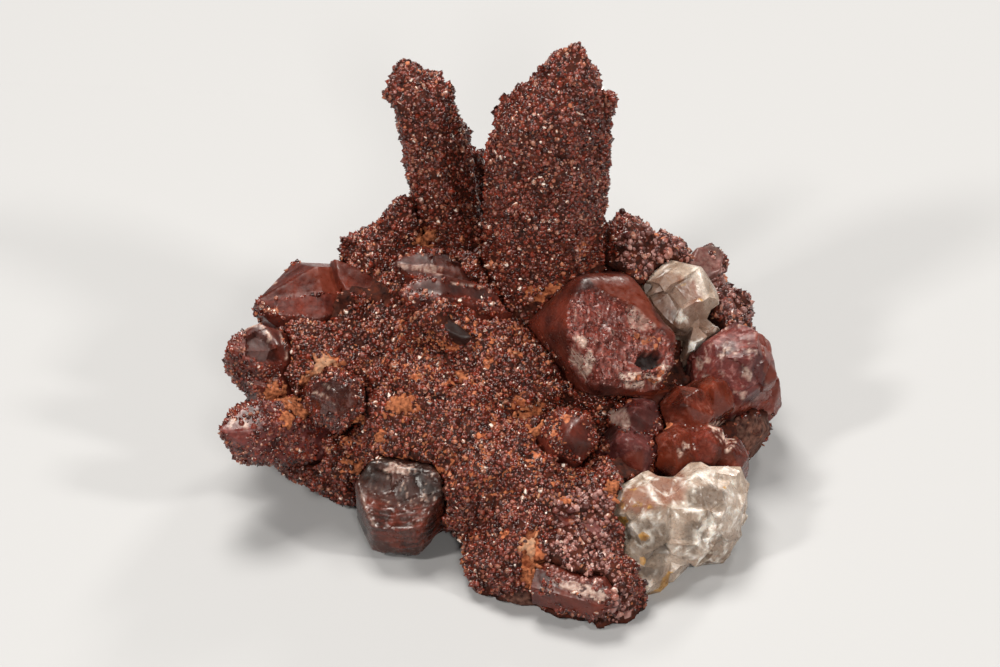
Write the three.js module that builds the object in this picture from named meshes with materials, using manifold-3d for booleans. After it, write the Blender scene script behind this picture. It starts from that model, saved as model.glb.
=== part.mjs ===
// A cluster of red hematoid quartz crystals standing in their matrix, about 70 mm wide.
// Millimetres, +Z up, +X to the right and +Y away from the viewer who looks at the front.
// The specimen rests on a broken flat under its matrix, in the plane z = 0.

import * as THREE from "three";
import { mergeVertices } from "three/addons/utils/BufferGeometryUtils.js";
import Module from "manifold-3d";

const wasm = await Module();
wasm.setup();

// Driving dimensions
const TALL_WIDTH = 14.2; // across the flats of the tall upright crystal
const SLIM_WIDTH = 8.2; // across the flats of the slim upright crystal
const SEAT_GAP = 0.3; // clear space left between two neighbouring pieces
const FLAT_HEIGHT = 0; // the broken flat that the specimen rests on
const TIP_SLOPE = THREE.MathUtils.degToRad(51.8); // from a quartz crystal's axis to the normal of a tip face
const SIDES = 6;
const LATER_FACE = 0.03; // how far every second end face of a crystal is set out, as a share of its width

// The druse: small pointed crystals in millimetres, with the shares of a crystal's radius that set its shape
const DRUSE = {
  smallest: 0.75,
  spread: 0.5,
  lean: 0.9,
  sunk: 0.9,
  shoulder: 0.35,
  point: 1.55,
  pointGrowth: 1.6,
  triesEach: 30,
};

// How unevenly a lump's facets are turned about its axis, in radians, and tipped along it
const FACET_TURN = 0.6;
const FACET_TIP = 0.2;

// Features are placed where they are seen from the front: across and down in a picture 1000 by 667 units
// in size, of 0.125 mm a unit at the aim point, then a height in millimetres above the resting surface.
const VIEW = {
  elevation: THREE.MathUtils.degToRad(36),
  distance: 830,
  unit: 0.125,
  centre: [500, 333.5],
  aim: new THREE.Vector3(-0.595, 5.159, 20),
};

const forward = new THREE.Vector3(0, Math.cos(VIEW.elevation), -Math.sin(VIEW.elevation));
const rightward = new THREE.Vector3(1, 0, 0);
const upward = new THREE.Vector3().crossVectors(rightward, forward);
const eye = VIEW.aim.clone().addScaledVector(forward, -VIEW.distance);

// The point at a height that is seen at a place in the picture.
function seen([across, down, height]) {
  const ray = forward.clone().multiplyScalar(VIEW.distance);
  ray.addScaledVector(rightward, (across - VIEW.centre[0]) * VIEW.unit);
  ray.addScaledVector(upward, (VIEW.centre[1] - down) * VIEW.unit);
  return eye.clone().addScaledVector(ray, (height - eye.z) / ray.z);
}

// A repeatable random number from 0 to 1.
function randomFrom(seed) {
  let state = seed * 2654435761;
  return () => {
    state = (state + 0x6d2b79f5) | 0;
    let mixed = Math.imul(state ^ (state >>> 15), 1 | state);
    mixed = (mixed + Math.imul(mixed ^ (mixed >>> 7), 61 | mixed)) ^ mixed;
    return ((mixed ^ (mixed >>> 14)) >>> 0) / 4294967296;
  };
}

// Solids

function solidOf(geometry) {
  const bare = geometry.clone();
  bare.deleteAttribute("normal");
  bare.deleteAttribute("uv");
  const merged = mergeVertices(bare, 1e-5);
  return new wasm.Manifold(
    new wasm.Mesh({
      numProp: 3,
      vertProperties: new Float32Array(merged.attributes.position.array),
      triVerts: new Uint32Array(merged.index.array),
    }),
  );
}

function joined(solids) {
  return wasm.Manifold.union(solids);
}

// The convex solid behind a list of planes, each { normal, through }, moved outwards by grow.
function behindPlanes(planes, centre, reach, grow) {
  const box = new THREE.BoxGeometry(reach, reach, reach).translate(centre.x, centre.y, centre.z);
  let solid = solidOf(box);
  for (const { normal, through } of planes) {
    const offset = normal.dot(through) + grow;
    solid = solid.trimByPlane([-normal.x, -normal.y, -normal.z], -offset);
  }
  return solid;
}

function facing([x, y, z]) {
  return new THREE.Vector3(x, y, z).normalize();
}

// A six-sided quartz crystal: root and axis fix its line, tip is where its end faces meet, and breaks are
// fracture planes. With twist 0 one side face looks to the right, and with 30 one looks to the front.
function crystalPlanes({ root, axis, tip, width, twist = 0, uneven = 0.08, seed = 1, breaks = [] }) {
  const random = randomFrom(seed);
  const start = seen(root);
  const apex = seen(tip);
  const along = seen(axis ?? tip).sub(start).normalize();
  const side = rightward.clone().addScaledVector(along, -rightward.dot(along)).normalize();
  const across = new THREE.Vector3().crossVectors(along, side);
  const planes = [];
  for (let face = 0; face < SIDES; face++) {
    const angle = THREE.MathUtils.degToRad(twist + (360 / SIDES) * face);
    const outward = side.clone().multiplyScalar(Math.cos(angle)).addScaledVector(across, Math.sin(angle));
    const reach = (width / 2) * (1 + uneven * (2 * random() - 1));
    planes.push({ normal: outward, through: start.clone().addScaledVector(outward, reach) });
    const slope = along.clone().multiplyScalar(Math.cos(TIP_SLOPE));
    slope.addScaledVector(outward, Math.sin(TIP_SLOPE));
    const later = face % 2 ? width * LATER_FACE : 0;
    planes.push({ normal: slope, through: apex.clone().addScaledVector(slope, later) });
  }
  planes.push({ normal: along.clone().negate(), through: start });
  for (const { through, towards } of breaks) planes.push({ normal: facing(towards), through: seen(through) });
  const centre = start.clone().add(apex).multiplyScalar(0.5);
  return { planes, centre, reach: 4 * (apex.distanceTo(start) + width) };
}

function crystal(spec, grow = 0) {
  const { planes, centre, reach } = crystalPlanes(spec);
  return behindPlanes(planes, centre, reach, grow);
}

// An angular lump of rock: facets of an ellipsoid with radii size, at uneven depths.
function rock({ at, size, turn = 0, facets = 30, rough = 0.16, seed = 1, breaks = [] }, grow = 0) {
  const random = randomFrom(seed);
  const centre = seen(at);
  const [rx, ry, rz] = size;
  const spin = new THREE.Euler(0, 0, THREE.MathUtils.degToRad(turn));
  const planes = [];
  const golden = Math.PI * (3 - Math.sqrt(5));
  for (let facet = 0; facet < facets; facet++) {
    const z = 1 - (2 * facet + 1) / facets;
    const ring = Math.sqrt(1 - z * z);
    const angle = golden * facet + FACET_TURN * random();
    const normal = facing([ring * Math.cos(angle), ring * Math.sin(angle), z + FACET_TIP * (random() - 0.5)]);
    const support = Math.hypot(rx * normal.x, ry * normal.y, rz * normal.z) * (1 - rough * random());
    normal.applyEuler(spin);
    planes.push({ normal, through: centre.clone().addScaledVector(normal, support) });
  }
  for (const { through, towards } of breaks) planes.push({ normal: facing(towards), through: seen(through) });
  return behindPlanes(planes, centre, 6 * Math.max(rx, ry, rz), grow);
}

// Small crystals standing on a solid's surface wherever keep(point, normal) allows, spaced apart.
function druseSites(solid, count, spacing, seed, keep) {
  const random = randomFrom(seed);
  const mesh = solid.getMesh();
  const corner = (index) => {
    const start = mesh.triVerts[index] * mesh.numProp;
    return new THREE.Vector3().fromArray(mesh.vertProperties, start);
  };
  const triangles = [];
  let total = 0;
  for (let index = 0; index < mesh.triVerts.length; index += 3) {
    const triangle = new THREE.Triangle(corner(index), corner(index + 1), corner(index + 2));
    total += triangle.getArea();
    triangles.push({ triangle, total });
  }
  const sites = [];
  for (let attempt = 0; attempt < count * DRUSE.triesEach && sites.length < count; attempt++) {
    const target = random() * total;
    const { triangle } = triangles.find((entry) => entry.total >= target);
    const [u, v] = [Math.sqrt(random()), random()];
    const point = new THREE.Vector3()
      .addScaledVector(triangle.a, 1 - u)
      .addScaledVector(triangle.b, u * (1 - v))
      .addScaledVector(triangle.c, u * v);
    const normal = triangle.getNormal(new THREE.Vector3());
    const lean = new THREE.Vector3(random() - 0.5, random() - 0.5, random() - 0.5);
    const size = DRUSE.smallest + DRUSE.spread * random();
    if (!keep(point, normal) || sites.some((site) => site.point.distanceTo(point) < spacing)) continue;
    sites.push({ point, direction: normal.addScaledVector(lean, DRUSE.lean).normalize(), size });
  }
  return sites;
}

function drusePoint({ point, direction, size }, grow = 0) {
  const radius = size + grow;
  const sunk = DRUSE.sunk + grow;
  const profile = [
    [0, -sunk],
    [radius, -sunk],
    [radius, DRUSE.shoulder * size + grow],
    [0, DRUSE.point * size + DRUSE.pointGrowth * grow],
  ].map(([x, y]) => new THREE.Vector2(x, y));
  const geometry = new THREE.LatheGeometry(profile, SIDES);
  geometry.applyQuaternion(new THREE.Quaternion().setFromUnitVectors(new THREE.Vector3(0, 1, 0), direction));
  return solidOf(geometry.translate(point.x, point.y, point.z));
}

function aboveFlat(solid) {
  return solid.trimByPlane([0, 0, 1], FLAT_HEIGHT);
}

function largestBody(solid) {
  return solid.decompose().sort((a, b) => b.volume() - a.volume())[0];
}

// The upright pair: a tall crystal and a slim one grown together at the foot
const TALL = {
  root: [541, 330, 14],
  axis: [552, 60, 52],
  tip: [575, 37, 55.5],
  width: TALL_WIDTH,
  twist: 24,
  uneven: 0.05,
  seed: 3,
};
const SLIM = {
  root: [462, 290, 16],
  axis: [417, 72, 45.5],
  tip: [401, 56, 47.5],
  width: SLIM_WIDTH,
  twist: 15,
  seed: 4,
};
const SLIM_SIDE = {
  root: [474, 250, 19],
  axis: [460, 116, 38],
  tip: [464, 108, 39.5],
  width: 5.2,
  twist: 0,
  seed: 5,
};
const UPRIGHT_DRUSE = { count: 78, spacing: 2.1, seed: 11, lowest: 30 };

// Single crystals, in the order in which one cuts into the next
const CRYSTALS = {
  broken_crystal: {
    color: 0x7d2c22,
    parts: [
      {
        root: [578, 322, 17],
        tip: [659, 346, 27.4],
        width: 14.4,
        twist: 26,
        uneven: 0.06,
        seed: 8,
        breaks: [
          { through: [634, 340, 24], towards: [0.44, -0.72, 0.53] },
          { through: [652, 300, 23], towards: [0.5, -0.2, 0.84] },
        ],
      },
    ],
  },
  smoky_stub: {
    color: 0x4a2a26,
    parts: [
      {
        root: [404, 524, 2.4],
        tip: [400, 442, 19],
        width: 9.8,
        twist: 22,
        seed: 21,
        breaks: [
          { through: [404, 492, 9.6], towards: [-0.1, -0.68, 0.72] },
          { through: [400, 463, 11.6], towards: [0.12, 0.3, 0.94] },
        ],
      },
    ],
  },
  left_crystal: {
    color: 0x6e2219,
    parts: [{ root: [404, 316, 12], tip: [252, 308, 19.5], width: 12, twist: 20, uneven: 0.1, seed: 6 }],
  },
  left_stub: {
    color: 0x5e201c,
    parts: [
      { root: [292, 372, 12], tip: [227, 347, 20], width: 7.4, twist: 35, uneven: 0.1, seed: 14 },
      { root: [284, 388, 12], tip: [246, 380, 16], width: 5.4, twist: 10, seed: 15 },
    ],
  },
  left_point: {
    color: 0x7a3a34,
    parts: [{ root: [318, 434, 9], tip: [219, 431, 15.5], width: 7, twist: 40, uneven: 0.1, seed: 9 }],
  },
  small_crystal: {
    color: 0x6a2a24,
    parts: [{ root: [346, 404, 9], tip: [331, 400, 19.5], width: 7, twist: 10, uneven: 0.12, seed: 16 }],
  },
  round_crystal: {
    color: 0x672219,
    parts: [{ root: [566, 450, 7], tip: [568, 435, 19], width: 6.8, twist: 20, uneven: 0.12, seed: 18 }],
  },
  pocket_crystal: {
    color: 0x4f1c20,
    parts: [
      { root: [634, 478, 3], tip: [622, 436, 15], width: 7.4, twist: 30, uneven: 0.1, seed: 19 },
      { root: [640, 446, 5], tip: [634, 412, 16.5], width: 6.4, twist: 12, uneven: 0.1, seed: 20 },
    ],
  },
  rear_crystals: {
    color: 0x641d17,
    parts: [
      { root: [505, 304, 17], tip: [394, 262, 26.5], width: 5.6, twist: 20, seed: 36 },
      { root: [540, 326, 16], tip: [398, 292, 25.5], width: 6.4, twist: 10, seed: 37 },
    ],
  },
  right_crystal: {
    color: 0x8a3a3c,
    parts: [
      {
        root: [720, 412, 4],
        axis: [738, 356, 17],
        tip: [746, 334, 20.5],
        width: 9.6,
        twist: 8,
        uneven: 0.12,
        seed: 22,
        breaks: [{ through: [738, 334, 18.2], towards: [-0.1, -0.2, 0.97] }],
      },
      { root: [738, 408, 4], tip: [779, 378, 10.5], width: 6.6, twist: 25, seed: 24 },
    ],
  },
  red_crystals: {
    color: 0x7c241a,
    parts: [
      { root: [706, 424, 5], tip: [712, 386, 16], width: 6, twist: 6, seed: 30 },
      { root: [690, 434, 5], tip: [684, 402, 17], width: 6.2, twist: 20, seed: 31 },
      { root: [682, 470, 4], tip: [672, 438, 14.5], width: 6, twist: 0, seed: 32 },
      { root: [708, 468, 4], tip: [706, 436, 14], width: 5.2, twist: 15, seed: 33 },
      { root: [728, 474, 4], tip: [730, 448, 12], width: 4.6, twist: 25, seed: 34 },
    ],
  },
  front_crystal: {
    color: 0x7a2c28,
    parts: [{ root: [538, 582, 4.2], tip: [622, 604, 4.2], width: 4.8, twist: 12, uneven: 0.05, seed: 26 }],
  },
};

// The broken pale quartz: the massive block at the front right, and the ridge behind the broken crystal
const PALE_BLOCK = [
  { at: [660, 528, 5.5], size: [8.2, 6, 7.8], facets: 26, rough: 0.18, seed: 41 },
  { at: [704, 510, 6], size: [6.2, 6, 7.2], facets: 24, rough: 0.2, seed: 42 },
  { at: [640, 562, 3], size: [4.4, 4.6, 4.6], facets: 20, rough: 0.2, seed: 43 },
];
const PALE_RIDGE = [
  { at: [676, 306, 18], size: [5.2, 4.4, 6.2], facets: 22, rough: 0.2, seed: 44 },
  { at: [702, 352, 13.5], size: [3.4, 4, 5.6], facets: 22, rough: 0.22, seed: 45 },
];

// The red matrix: rounded masses under the crust, and coated crystals that are one with it
const MATRIX_ROCKS = [
  { at: [500, 396, 7], size: [27, 16, 12.5], facets: 44, rough: 0.12, seed: 50 },
  { at: [462, 330, 13], size: [20, 9, 11.5], facets: 36, rough: 0.14, seed: 51 },
  { at: [604, 330, 12], size: [14, 9, 13.5], facets: 34, rough: 0.14, seed: 52 },
  { at: [682, 352, 9], size: [9, 8.5, 12], facets: 30, rough: 0.14, seed: 53 },
  { at: [706, 412, 5], size: [8, 11, 9], facets: 28, rough: 0.14, seed: 54 },
  { at: [366, 342, 13], size: [11, 9, 8.5], facets: 30, rough: 0.14, seed: 55 },
  { at: [318, 376, 11], size: [9, 8, 8.5], facets: 28, rough: 0.16, seed: 56 },
  { at: [346, 434, 7], size: [9.5, 8.5, 8], facets: 28, rough: 0.16, seed: 57 },
  { at: [440, 440, 8], size: [13, 12, 11], facets: 30, rough: 0.14, seed: 58 },
  { at: [530, 500, 6], size: [10.5, 9.5, 11.5], facets: 30, rough: 0.14, seed: 59 },
  { at: [535, 555, 3], size: [9, 8, 7.5], facets: 28, rough: 0.14, seed: 60 },
  { at: [590, 585, 2], size: [7.5, 6, 6.5], facets: 26, rough: 0.14, seed: 61 },
  { at: [600, 520, 5], size: [8, 9, 8], facets: 26, rough: 0.14, seed: 62 },
  { at: [722, 312, 13], size: [3.6, 4, 4.4], facets: 20, rough: 0.2, seed: 63 },
];
const COATED_CRYSTALS = [
  { root: [430, 300, 14], tip: [342, 234, 26.5], width: 7, twist: 20, seed: 70 },
  { root: [440, 275, 16], tip: [389, 196, 31], width: 6.4, twist: 0, seed: 71 },
  { root: [420, 300, 12], tip: [410, 250, 25], width: 6, twist: 20, seed: 72 },
  { root: [470, 345, 12], tip: [430, 318, 25], width: 9, twist: 5, seed: 73 },
  { root: [620, 290, 12], tip: [626, 228, 28.5], width: 7, twist: 20, seed: 74 },
  { root: [664, 300, 12], tip: [662, 240, 26], width: 6.6, twist: 0, seed: 75 },
  { root: [702, 300, 10], tip: [713, 254, 22], width: 3.4, twist: 30, seed: 76 },
  { root: [720, 344, 8], tip: [732, 290, 17.5], width: 4.4, twist: 12, seed: 77 },
  { root: [480, 520, 3], tip: [478, 470, 15], width: 8, twist: 30, seed: 78 },
  { root: [600, 600, 1], tip: [602, 629, 0.5], width: 4.6, twist: 10, seed: 79 },
];
const MATRIX_DRUSE = { count: 112, spacing: 2.8, seed: 90, lowest: 3, steepest: -0.3 };

function uprightPair(grow) {
  const plain = joined([crystal(TALL), crystal(SLIM), crystal(SLIM_SIDE)]);
  const { count, spacing, seed, lowest } = UPRIGHT_DRUSE;
  const sites = druseSites(plain, count, spacing, seed, (point) => point.z > lowest);
  const stems = [TALL, SLIM, SLIM_SIDE].map((spec) => crystal(spec, grow));
  return joined([...stems, ...sites.map((site) => drusePoint(site, grow))]);
}

function matrixBody() {
  const lumps = MATRIX_ROCKS.map((spec) => rock(spec));
  const coated = COATED_CRYSTALS.map((spec) => crystal(spec));
  const mass = aboveFlat(joined([...lumps, ...coated]));
  const { count, spacing, seed, lowest, steepest } = MATRIX_DRUSE;
  const open = (point, normal) => point.z > lowest && normal.z > steepest;
  const sites = druseSites(mass, count, spacing, seed, open);
  return aboveFlat(joined([mass, ...sites.map((site) => drusePoint(site))]));
}

// Every piece as { name, color, roughness, make(grow) }, in the order in which one cuts into the next.
const PIECES = [
  { name: "upright_crystals", color: 0x5c1f18, roughness: 0.4, make: uprightPair },
  ...Object.entries(CRYSTALS).map(([name, { color, parts }]) => ({
    name,
    color,
    roughness: 0.25,
    make: (grow) => joined(parts.map((spec) => crystal(spec, grow))),
  })),
  {
    name: "pale_quartz_block",
    color: 0xb9b0a2,
    roughness: 0.3,
    make: (grow) => joined(PALE_BLOCK.map((spec) => rock(spec, grow))),
  },
  {
    name: "pale_quartz_ridge",
    color: 0xb3a68c,
    roughness: 0.3,
    make: (grow) => joined(PALE_RIDGE.map((spec) => rock(spec, grow))),
  },
  { name: "matrix", color: 0x5a2a20, roughness: 0.7, make: matrixBody },
];

function meshOf(solid, { name, color, roughness }) {
  const { vertProperties, triVerts } = solid.getMesh();
  const geometry = new THREE.BufferGeometry();
  geometry.setAttribute("position", new THREE.BufferAttribute(vertProperties, 3));
  geometry.setIndex(new THREE.BufferAttribute(triVerts, 1));
  geometry.computeVertexNormals();
  const material = new THREE.MeshStandardMaterial({ color, roughness, metalness: 0, flatShading: true });
  const mesh = new THREE.Mesh(geometry, material);
  mesh.name = name;
  return mesh;
}

const specimen = new THREE.Group();
let taken = null; // the pieces made so far, each grown by the gap
for (const piece of PIECES) {
  const whole = aboveFlat(piece.make(0));
  const solid = largestBody(taken ? whole.subtract(taken) : whole);
  specimen.add(meshOf(solid, piece));
  if (piece.name === "matrix") continue;
  const grown = piece.make(SEAT_GAP);
  taken = taken ? taken.add(grown) : grown;
}

export default specimen;
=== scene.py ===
import math

import bmesh
import bpy
import numpy as np
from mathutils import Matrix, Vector
from mathutils.bvhtree import BVHTree


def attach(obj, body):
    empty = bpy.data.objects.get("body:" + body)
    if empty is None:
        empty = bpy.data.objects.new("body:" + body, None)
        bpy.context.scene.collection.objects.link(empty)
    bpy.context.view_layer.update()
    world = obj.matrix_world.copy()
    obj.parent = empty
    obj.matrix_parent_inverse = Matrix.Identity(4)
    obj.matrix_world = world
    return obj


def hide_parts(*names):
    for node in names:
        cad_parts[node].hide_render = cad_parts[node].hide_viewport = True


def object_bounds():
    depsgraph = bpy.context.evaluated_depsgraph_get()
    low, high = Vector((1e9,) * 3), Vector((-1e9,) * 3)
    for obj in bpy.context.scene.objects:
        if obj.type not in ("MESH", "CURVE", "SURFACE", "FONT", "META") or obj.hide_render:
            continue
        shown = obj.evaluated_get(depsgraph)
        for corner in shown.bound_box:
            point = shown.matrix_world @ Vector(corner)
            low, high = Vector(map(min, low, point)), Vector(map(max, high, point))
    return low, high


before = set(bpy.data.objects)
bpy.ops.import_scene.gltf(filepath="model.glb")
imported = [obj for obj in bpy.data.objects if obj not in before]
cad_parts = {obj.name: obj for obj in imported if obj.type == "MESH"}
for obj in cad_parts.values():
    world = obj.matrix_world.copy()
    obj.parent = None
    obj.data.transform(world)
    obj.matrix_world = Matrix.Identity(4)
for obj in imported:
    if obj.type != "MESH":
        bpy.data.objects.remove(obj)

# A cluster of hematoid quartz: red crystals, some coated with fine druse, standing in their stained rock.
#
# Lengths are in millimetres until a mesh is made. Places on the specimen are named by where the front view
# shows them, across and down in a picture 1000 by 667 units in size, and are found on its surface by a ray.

cad_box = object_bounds()

MM = 0.001

# Camera: the photograph's angle, at the same scale as the solids were placed with

ELEVATION = math.radians(36)
DISTANCE = 830
UNIT = 0.125  # millimetres to one unit of the picture, at the aim point
CENTRE = (500, 333.5)
PICTURE_WIDTH = 1000
SENSOR = 36
AIM = np.array([-0.595, 5.159, 20.0])

forward = np.array([0, math.cos(ELEVATION), -math.sin(ELEVATION)])
rightward = np.array([1.0, 0, 0])
upward = np.cross(rightward, forward)
eye = AIM - forward * DISTANCE


def add_camera():
    data = bpy.data.cameras.new("camera")
    data.sensor_width = SENSOR
    data.lens = SENSOR * DISTANCE / (UNIT * PICTURE_WIDTH)
    data.clip_start = 0.1
    data.clip_end = 20
    camera = bpy.data.objects.new("camera", data)
    camera.location = Vector(eye * MM)
    camera.rotation_euler = (math.pi / 2 - ELEVATION, 0, 0)
    bpy.context.scene.collection.objects.link(camera)
    bpy.context.scene.camera = camera


add_camera()

# The solids as search trees, for rays and for nearness


def arrays_of(mesh):
    """The corners in millimetres and the triangles of a mesh."""
    mesh.calc_loop_triangles()
    corners = np.empty(len(mesh.vertices) * 3)
    mesh.vertices.foreach_get("co", corners)
    triangles = np.empty(len(mesh.loop_triangles) * 3, dtype=np.int64)
    mesh.loop_triangles.foreach_get("vertices", triangles)
    return corners.reshape(-1, 3) / MM, triangles.reshape(-1, 3)


def tree_of(nodes):
    """A search tree over some nodes' surfaces, in millimetres."""
    every_corner = []
    every_triangle = []
    count = 0
    for node in nodes:
        corners, triangles = arrays_of(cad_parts[node].data)
        every_corner.extend(corners.tolist())
        every_triangle.extend((triangles + count).tolist())
        count += len(corners)
    return BVHTree.FromPolygons(every_corner, every_triangle)


ROCK = "matrix"
specimen_tree = tree_of(sorted(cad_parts))
rock_tree = tree_of([ROCK])
crystal_tree = tree_of(sorted(set(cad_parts) - {ROCK}))


def nearness(points, tree, reach):
    """1 on a tree's surface, falling to 0 at a reach from it."""
    found = [tree.find_nearest(Vector(point), reach)[3] for point in points]
    return np.array([1 - distance / reach if distance is not None else 0.0 for distance in found])


def line_of_sight(across, down):
    ray = forward * DISTANCE
    ray = ray + rightward * (across - CENTRE[0]) * UNIT
    return ray + upward * (CENTRE[1] - down) * UNIT


def seen(across, down):
    """The point of the specimen's surface, in millimetres, that the front view shows at a place.

    For a place just beside the specimen it is the point of the surface that comes nearest to the line of sight.
    """
    ray = line_of_sight(across, down)
    hit = specimen_tree.ray_cast(Vector(eye), Vector(ray).normalized())[0]
    if hit is not None:
        return np.array(hit)
    point = eye + ray
    for _ in range(12):
        near = np.array(specimen_tree.find_nearest(Vector(point))[0])
        point = eye + ray * ((near - eye) @ ray) / (ray @ ray)
    return near


def unit(vector):
    return np.array(vector) / np.linalg.norm(vector)


# Noise

HASH = np.array([374761393, 668265263, 2246822519], dtype=np.uint32)
STIR = np.uint32(1274126177)


def lattice(cell, seed):
    """A repeatable random number from 0 to 1 for each whole-number cell."""
    whole = cell.astype(np.int64).astype(np.uint32)
    mixed = (whole * HASH).sum(axis=-1, dtype=np.uint32) + np.uint32(seed * 2654435 % 4294967295)
    mixed = (mixed ^ (mixed >> np.uint32(13))) * STIR
    mixed = (mixed ^ (mixed >> np.uint32(16))) * STIR
    mixed = mixed ^ (mixed >> np.uint32(15))
    return (mixed & np.uint32(0xFFFFFF)) / 16777216.0


def waves(points, size, seed):
    """Smooth noise from -1 to 1, with features of that size in millimetres."""
    scaled = points / size
    cell = np.floor(scaled)
    part = scaled - cell
    part = part * part * (3 - 2 * part)
    total = np.zeros(len(points))
    for corner in np.ndindex(2, 2, 2):
        weight = np.prod(np.where(corner, part, 1 - part), axis=1)
        total += weight * lattice(cell + corner, seed)
    return 2 * total - 1


def rough(points, size, seed, layers=3):
    """Layered noise, about -1 to 1."""
    total = np.zeros(len(points))
    for layer in range(layers):
        total += waves(points, size / 2**layer, seed + layer) / 2**layer
    return total


def chips(points, size, seed, tilt=0.9):
    """Angular relief: each cell is a flat chip at its own level and tilt. Also the nearness of a chip's edge."""
    scaled = points / size
    base = np.floor(scaled)
    nearest = np.full(len(points), 9.0)
    second = np.full(len(points), 9.0)
    relief = np.zeros(len(points))
    for shift in np.ndindex(3, 3, 3):
        cell = base + shift - 1
        jitter = np.stack([lattice(cell, seed + k) for k in range(3)], axis=1)
        lean = np.stack([lattice(cell, seed + 3 + k) for k in range(3)], axis=1) * 2 - 1
        apart = scaled - cell - jitter
        distance = np.linalg.norm(apart, axis=1)
        closer = distance < nearest
        second = np.where(closer, nearest, np.minimum(second, distance))
        level = (lattice(cell, seed + 6) - 0.5) + tilt * (apart * lean).sum(axis=1)
        relief = np.where(closer, level, relief)
        nearest = np.where(closer, distance, nearest)
    return relief, np.clip(1 - (second - nearest) * 6, 0, 1)


def ramp(value, low, high):
    """0 below low, 1 above high, smooth between."""
    part = np.clip((value - low) / (high - low), 0, 1)
    return part * part * (3 - 2 * part)


def threads(points, size, seed, width=0.1):
    """A net of thin winding threads: 1 along them, 0 between."""
    return 1 - ramp(np.abs(rough(points, size, seed, 2)), 0, width)


def streaks(points, seed, across=0.3, along=2.2):
    """Noise drawn out from the top of the view to its foot."""
    return rough(points / np.array([across, along, along]), 1.0, seed, 2)


# Parts of a surface, named by their place in the front view


def inside(places, outline):
    """How far each place lies from an outline, in units of the picture: above 0 inside it, below 0 outside."""
    distance = np.full(len(places), np.inf)
    within = np.zeros(len(places), dtype=bool)
    for start, end in zip(outline, np.roll(outline, -1, axis=0)):
        way = end - start
        share = np.clip(((places - start) @ way) / (way @ way), 0, 1)
        distance = np.minimum(distance, np.linalg.norm(places - start - share[:, None] * way, axis=1))
        crosses = (start[1] > places[:, 1]) != (end[1] > places[:, 1])
        rise = way[1] if way[1] != 0 else 1.0
        meets = start[0] + way[0] * (places[:, 1] - start[1]) / rise
        within ^= crosses & (places[:, 0] < meets)
    return np.where(within, distance, -distance)


class Surface:
    """Points of a surface, with the place of each in the front view and whether that view shows it."""

    def __init__(self, points, normals=None, slack=1.0):
        self.points = points
        self.normals = normals
        apart = points - eye
        depth = apart @ forward
        across = CENTRE[0] + (apart @ rightward) / depth * DISTANCE / UNIT
        down = CENTRE[1] - (apart @ upward) / depth * DISTANCE / UNIT
        self.places = np.column_stack([across, down])
        distance = np.linalg.norm(apart, axis=1)
        start = Vector(eye)
        hits = [specimen_tree.ray_cast(start, Vector(way).normalized())[3] for way in apart]
        hits = np.array([hit if hit is not None else np.inf for hit in hits])
        self.shown = hits > distance - slack

    def nothing(self):
        return np.zeros(len(self.points))

    def region(self, outline, ragged=2.0, size=0.7, edge=2.0, seed=0):
        """1 on the shown points within an outline of places, with an uneven edge."""
        outline = np.array(outline, dtype=float)
        margin = 8
        low = outline.min(axis=0) - margin
        high = outline.max(axis=0) + margin
        near = self.shown & np.all((self.places > low) & (self.places < high), axis=1)
        value = self.nothing()
        if near.any():
            depth = inside(self.places[near], outline) + ragged * rough(self.points[near], size, 700 + seed)
            value[near] = ramp(depth, -edge / 2, edge / 2)
        return value

    def regions(self, outlines, **look):
        value = self.nothing()
        for index, outline in enumerate(outlines):
            value = np.maximum(value, self.region(outline, seed=index, **look))
        return value

    def spots(self, spots, ragged=0.5, size=1.2):
        """1 within ragged round patches, each given as (across, down, radius in millimetres)."""
        value = self.nothing()
        for index, (across, down, radius) in enumerate(spots):
            apart = np.linalg.norm(self.points - seen(across, down), axis=1) / radius
            near = apart < 2.2
            if near.any():
                uneven = 1 + ragged * rough(self.points[near], size, 900 + index)
                value[near] = np.maximum(value[near], ramp(uneven - apart[near], -0.15, 0.25))
        return value

    def line(self, places, radius):
        """1 along a line of places, falling to 0 at a radius in millimetres from it."""
        stops = np.array([seen(*place) for place in places])
        value = self.nothing()
        for start, end in zip(stops[:-1], stops[1:]):
            way = end - start
            share = np.clip(((self.points - start) @ way) / (way @ way), 0, 1)
            distance = np.linalg.norm(self.points - start - share[:, None] * way, axis=1)
            value = np.maximum(value, 1 - ramp(distance, 0, radius))
        return value

    def lines(self, lines):
        value = self.nothing()
        for places, radius in lines:
            value = np.maximum(value, self.line(places, radius))
        return value

    def covered(self, tree, reach=0.5):
        """1 where the surface faces another one across a narrow gap, so that nothing grows there."""
        value = self.nothing()
        for index, (point, normal) in enumerate(zip(self.points, self.normals)):
            near, _, _, distance = tree.find_nearest(Vector(point), reach)
            if near is not None:
                value[index] = (np.array(near) - point) @ normal > 0.45 * distance
        return value


# Meshes


def mesh_from(name, corners, triangles):
    """A mesh from corners in millimetres and triangles."""
    mesh = bpy.data.meshes.new(name)
    mesh.vertices.add(len(corners))
    mesh.vertices.foreach_set("co", (corners * MM).astype(np.float32).ravel())
    mesh.loops.add(len(triangles) * 3)
    mesh.loops.foreach_set("vertex_index", triangles.astype(np.int32).ravel())
    mesh.polygons.add(len(triangles))
    mesh.polygons.foreach_set("loop_start", np.arange(0, len(triangles) * 3, 3, dtype=np.int32))
    mesh.update(calc_edges=True)
    return mesh


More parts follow.
